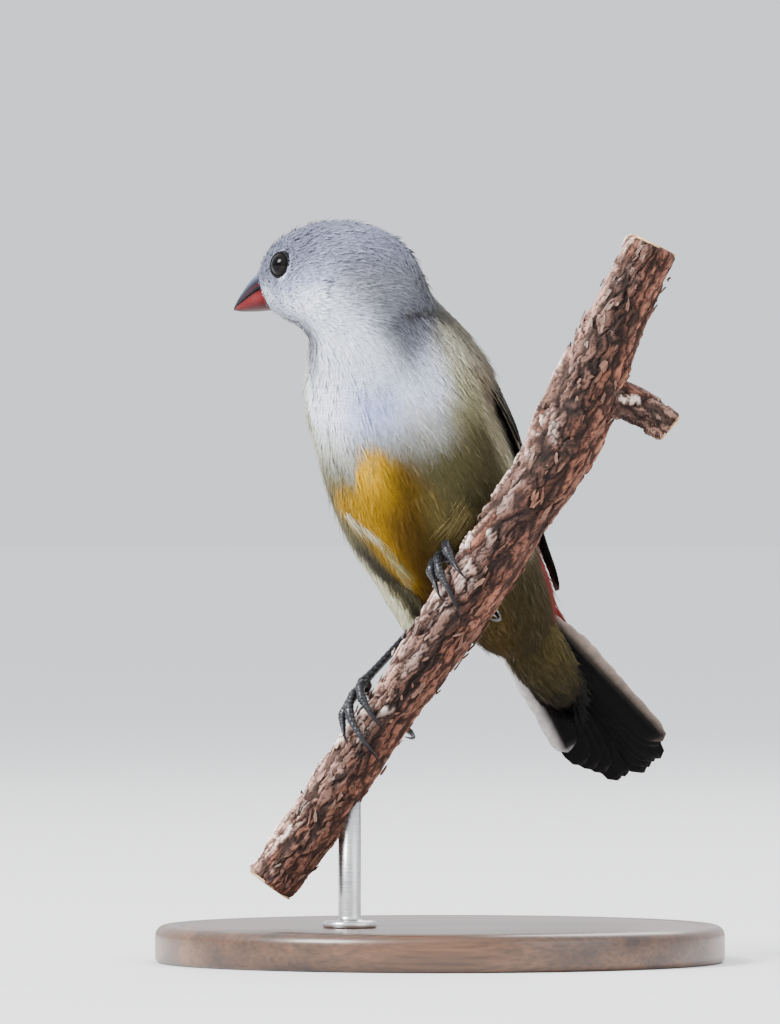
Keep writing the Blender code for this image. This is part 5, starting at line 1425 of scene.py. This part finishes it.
def plated(path, radius, plates, depth, reference):
    """A limb with plates on the side towards `reference`: its radius falls in a saw tooth once a plate, the cracks
    between plates are darker, and each plate's middle there carries a painted highlight. Gives points, faces and tint."""
    t = np.linspace(0, 1, len(path))[:, None]
    turn = around(28)[None, :]
    tooth = (t * plates) % 1.0
    front = 0.35 + 0.65 * smooth(np.cos(turn), -0.5, 0.5)
    saw = depth * front * (0.6 - tooth) * (1 - np.exp(-tooth / 0.06))
    crack = np.exp(-tooth / 0.12) + 0.6 * smooth(tooth, 0.9, 1.0)
    shade = blend(np.clip(front * crack, 0, 1), "#0f1014", "#020203")
    # Painted highlight: a paler blue grey across the middle of each plate on the reference side.
    shade = blend(0.3 * smooth(0.5 - np.abs(tooth - 0.35), 0.3, 0.5) * front, shade, "#4a4d58")
    return capped(tube_rows(path, radius[:, None] * (1 + saw), 28, reference), shade)


def blob(centre, axes, half_sizes, seed):
    """An ellipsoid with a slightly uneven skin, as for a pad or a joint."""
    down, turn = np.linspace(0.05, math.pi - 0.05, 22)[:, None], around(28)[None, :]
    local = np.stack([np.sin(down) * np.cos(turn), np.sin(down) * np.sin(turn), np.cos(down) + 0 * turn], axis=-1)
    local = local * (1 + 0.05 * waves(local, 0.5, seed))[..., None]
    shade = np.broadcast_to(linear("#0d0d10"), local.shape)
    return capped(centre + (local * half_sizes) @ axes, shade)


def on_twig(reach, angle, height):
    """One point over the twig's bark."""
    return around_perch(np.array([reach]), np.array([angle]), np.array([height]))[0]


hard = {"Roughness": 0.34, "IOR": 1.54, "Specular_IOR_Level": 0.25, "Coat_Weight": 0.05, "Coat_Roughness": 0.2}
layers = {"Scale": 2600.0, "Detail": 3.0}
claw_material = grained("claw_horn", NOISE, layers, (0.3, 0.7, 0.75, 1.3), (0.2, 0.00005), **hard)

for side, toes in TOES.items():
    reach, angle = PALM[side]
    palm = on_twig(reach, angle, STAND_OFF + 0.75)
    ankle = on_twig(reach + 0.3, angle - 6, STAND_OFF + 1.5)
    t = np.linspace(0, 1, 150)
    path = HEEL[side] * (1 - t)[:, None] + ankle * t[:, None]
    front = unit(np.array([-0.6, -0.8, 0.1]))
    shank = plated(path, 0.55 * (1 + 0.35 * (2 * t - 1) ** 4), 11, 0.18, front)
    make_piece("shank_" + side, ("tarsus_" + side,), "leg_skin", leg_material, *shank)
    over = unit(palm - perch(np.array([reach]))[0][0])
    lengthwise = unit(np.cross(over, (0.0, 1.0, 0.0)))
    axes = np.stack([lengthwise, unit(np.cross(over, lengthwise)), over])
    foot = [blob(palm, axes, (1.0, 1.0, 0.85), 5), blob(ankle, axes, (0.75, 0.75, 0.8), 6)]
    for toe, (places, angles, lifts, (tip_place, tip_angle)) in toes.items():
        knots, t = np.linspace(0, 1, 4), np.linspace(0, 1, 90)
        path = around_perch(along(t, knots, places), along(t, knots, angles), STAND_OFF + 0.62 + along(t, knots, lifts))
        lead = np.linspace(0, 0.9, 12)[:, None]
        path = np.concatenate([palm * (1 - lead) + path[0] * lead, path])
        t = np.linspace(0, 1, len(path))
        knuckles = 1 + 0.10 * np.cos(np.linspace(0, 6 * math.pi, len(path)))
        up = unit(path - perch(along(t, knots, places))[0])
        foot.append(plated(path, 0.44 * knuckles * along(t, (0, 0.9, 1), (1.1, 0.95, 0.72)), 15, 0.42, up))
        onward = unit(path[-1] - path[-2])
        start, tip = path[-1] - 0.35 * onward, on_twig(tip_place, tip_angle, STAND_OFF + 0.05)
        over_claw = on_twig((places[-1] + tip_place) / 2, (angles[-1] + tip_angle) / 2, STAND_OFF + 1.1)
        t = np.linspace(0, 1, 44)[:, None]
        claw_path = (1 - t) ** 3 * start + 3 * t * (1 - t) ** 2 * (start + 1.3 * onward)
        claw_path = claw_path + 3 * t**2 * (1 - t) * over_claw + t**3 * tip
        claw_size = (0.38 * (1 - t) ** 0.7 + 0.035) * (1 - 0.12 * np.abs(np.sin(around(20)[None, :])))
        flat, faces = capped(tube_rows(claw_path, claw_size, 20, up[-1]))
        share = np.concatenate([np.repeat(t[:, 0], 20), [0, 1]])
        shade = blend(smooth(share, 0.0, 0.5), "#17181d", "#0a0a0d")
        nodes = (f"claw_{side}_{toe}",)
        make_piece(f"claw_horn_{side}_{toe}", nodes, "claw_horn", claw_material, flat, faces, shade)
    make_piece("foot_plates_" + side, ("foot_" + side,), "leg_skin", leg_material, *joined(foot))

# Stand. A disc turned from walnut, stained and varnished, carries one brushed steel pin that is let into the
# underside of the twig.


def turned(profile, centre, sides):
    """A closed solid of revolution from radii and heights, round an upright line."""
    turn = around(sides)[None, :]
    radius, height = np.asarray(profile, float).T[..., None]
    rows = np.stack([centre[0] + radius * np.cos(turn), centre[1] + radius * np.sin(turn), height + 0 * turn], axis=-1)
    return capped(rows)


walnut, tree, shader = finish("turned_walnut", Roughness=0.38, IOR=1.5, Coat_Weight=0.35, Coat_Roughness=0.18)
place = add_node(tree, "TexCoord", gives="Object")
stretched = add_node(tree, "Mapping", Vector=place, Scale=(12.0, 160.0, 160.0), Rotation=(0.0, 0.0, 0.5))
warp = add_node(tree, NOISE, Vector=stretched, Scale=1.0, Detail=6.0, Roughness=0.6)
streak = add_node(tree, "Mapping", Vector=place, Scale=(60.0, 2200.0, 2200.0), Rotation=(0.0, 0.0, 0.5))
pores = add_node(tree, NOISE, Vector=streak, Scale=1.0, Detail=3.0)
ramp = add_node(tree, "ValToRGB", Fac=warp)
stops = ramp.node.color_ramp.elements
tones = (0.32, "#2a1a12"), (0.5, "#4d3322"), (0.68, "#6b4a32")
for element, (at, shade) in zip((stops[0], stops.new(0.5), stops[-1]), tones):
    element.position = at
    element.color = (*linear(shade), 1.0)
fade = add_node(tree, "MapRange", Value=pores, From_Min=0.3, From_Max=0.6, To_Min=0.6, To_Max=1.1)
tinted = add_node(tree, "VectorMath", {"operation": "SCALE"}, _0=ramp, Scale=fade)
bump = add_node(tree, "Bump", Height=pores, Strength=0.15, Distance=0.0001)
connect(shader, Base_Color=tinted, Normal=bump)
bend = np.linspace(0, math.pi / 2, 9)
foot_edge = np.stack([37.2 + 0.8 * np.sin(bend), 0.8 - 0.8 * np.cos(bend)], axis=1)
shoulder = np.stack([36.5 + 1.5 * np.cos(bend), 3.5 + 1.5 * np.sin(bend)], axis=1)
profile = [(0.01, 0.0), (20.0, 0.0), *foot_edge, (38.0, 2.2), *shoulder]
profile += [(35.2, 4.96), (34.9, 4.8), (34.5, 4.8), (34.2, 4.96), (33.8, 5.0), (15.0, 5.0), (3.0, 5.0), (0.01, 5.0)]
make_piece("base_disc", ("stand_base",), "stained_wood", walnut, *turned(profile, (0.0, 0.0), 180))

steel, tree, shader = finish("brushed_steel", Metallic=1.0, Roughness=0.3)
place = add_node(tree, "TexCoord", gives="Object")
stretched = add_node(tree, "Mapping", Vector=place, Scale=(300.0, 300.0, 9000.0))
lines = add_node(tree, NOISE, Vector=stretched, Scale=1.0, Detail=3.0)
ramp = add_node(tree, "MapRange", Value=lines, From_Min=0.3, From_Max=0.7, To_Min=0.22, To_Max=0.42)
hue = add_node(tree, "MapRange", Value=lines, From_Min=0.3, From_Max=0.7, To_Min=0.48, To_Max=0.62)
bump = add_node(tree, "Bump", Height=lines, Strength=0.1, Distance=0.00005)
connect(shader, Roughness=ramp, Base_Color=hue, Normal=bump)
ROD_X, ROD_RADIUS = -12.0, 1.5
rod_top = float(np.interp(ROD_X, PERCH_LINE[:, 0], PERCH_LINE[:, 1])) - 1.5
profile = [(0.01, 5.02), (3.4, 5.02), (3.6, 5.15), (3.6, 5.75), (3.4, 5.9), (1.8, 6.0), (1.55, 6.25)]
profile += [(ROD_RADIUS, 6.6), (ROD_RADIUS, 9.0), (ROD_RADIUS, rod_top), (0.01, rod_top)]
make_piece("steel_pin", ("stand_rod",), "steel", steel, *turned(profile, (ROD_X, PERCH_Y), 48))

# Studio: a pale matt floor, a large soft light from the upper left in front, a weaker one from the right, and
# a plain pale surround. The camera looks level, with a long lens.

floor_material, tree, shader = finish("pale_floor", Roughness=0.9, Specular_IOR_Level=0.1)
place = add_node(tree, "TexCoord", gives="Object")
grain = add_node(tree, NOISE, Vector=place, Scale=60.0, Detail=3.0)
connect(shader, Base_Color=add_node(tree, "MapRange", Value=grain, To_Min=0.70, To_Max=0.74))
FLOOR_RADIUS = 30.0
mesh = bpy.data.meshes.new("floor")
rim = [(FLOOR_RADIUS * math.cos(a), FLOOR_RADIUS * math.sin(a), 0.0) for a in around(96)]
mesh.from_pydata(rim, [], [list(range(96))])
mesh.materials.append(floor_material)
floor = bpy.data.objects.new("floor", mesh)
bpy.context.scene.collection.objects.link(floor)

# The surround is brighter overhead than at the horizon, where it has the floor's own tone.
world = bpy.data.worlds.new("surround")
world.use_nodes = True
sky = world.node_tree
up = add_node(sky, "SeparateXYZ", gives="Z", Vector=add_node(sky, "TexCoord", gives="Generated"))
glow = add_node(sky, "MapRange", Value=up, From_Min=0.05, From_Max=0.7, To_Min=1.12, To_Max=1.75)
connect(sky.nodes["Background"], Color=(0.96, 0.985, 1.03, 1.0), Strength=glow)
bpy.context.scene.world = world
for name, where, power, size in (
    ("key", (-0.85, -0.60, 0.80), 40.0, 0.5),
    ("fill", (0.8, -0.6, 0.35), 4.0, 0.8),
    ("rim", (0.3, 0.65, 0.8), 8.0, 0.6),
):
    lamp = bpy.data.lights.new(name, "AREA")
    lamp.energy, lamp.size = power, size
    light = bpy.data.objects.new(name, lamp)
    aim = unit(np.array([0.0, 0.0, 0.06]) - np.array(where))
    light.location = where
    light.rotation_euler = (math.acos(-aim[2]), 0.0, math.atan2(-aim[0], aim[1]))
    bpy.context.scene.collection.objects.link(light)

lens = bpy.data.cameras.new("camera")
lens.lens, lens.sensor_fit, lens.sensor_height = 400.0, "VERTICAL", 36.0
lens.clip_start, lens.clip_end = 0.1, 20.0
camera = bpy.data.objects.new("camera", lens)
camera.location = (-0.006667, -1.517, 0.060)
camera.rotation_euler = (math.radians(90), 0.0, 0.0)
bpy.context.scene.collection.objects.link(camera)
bpy.context.scene.camera = camera
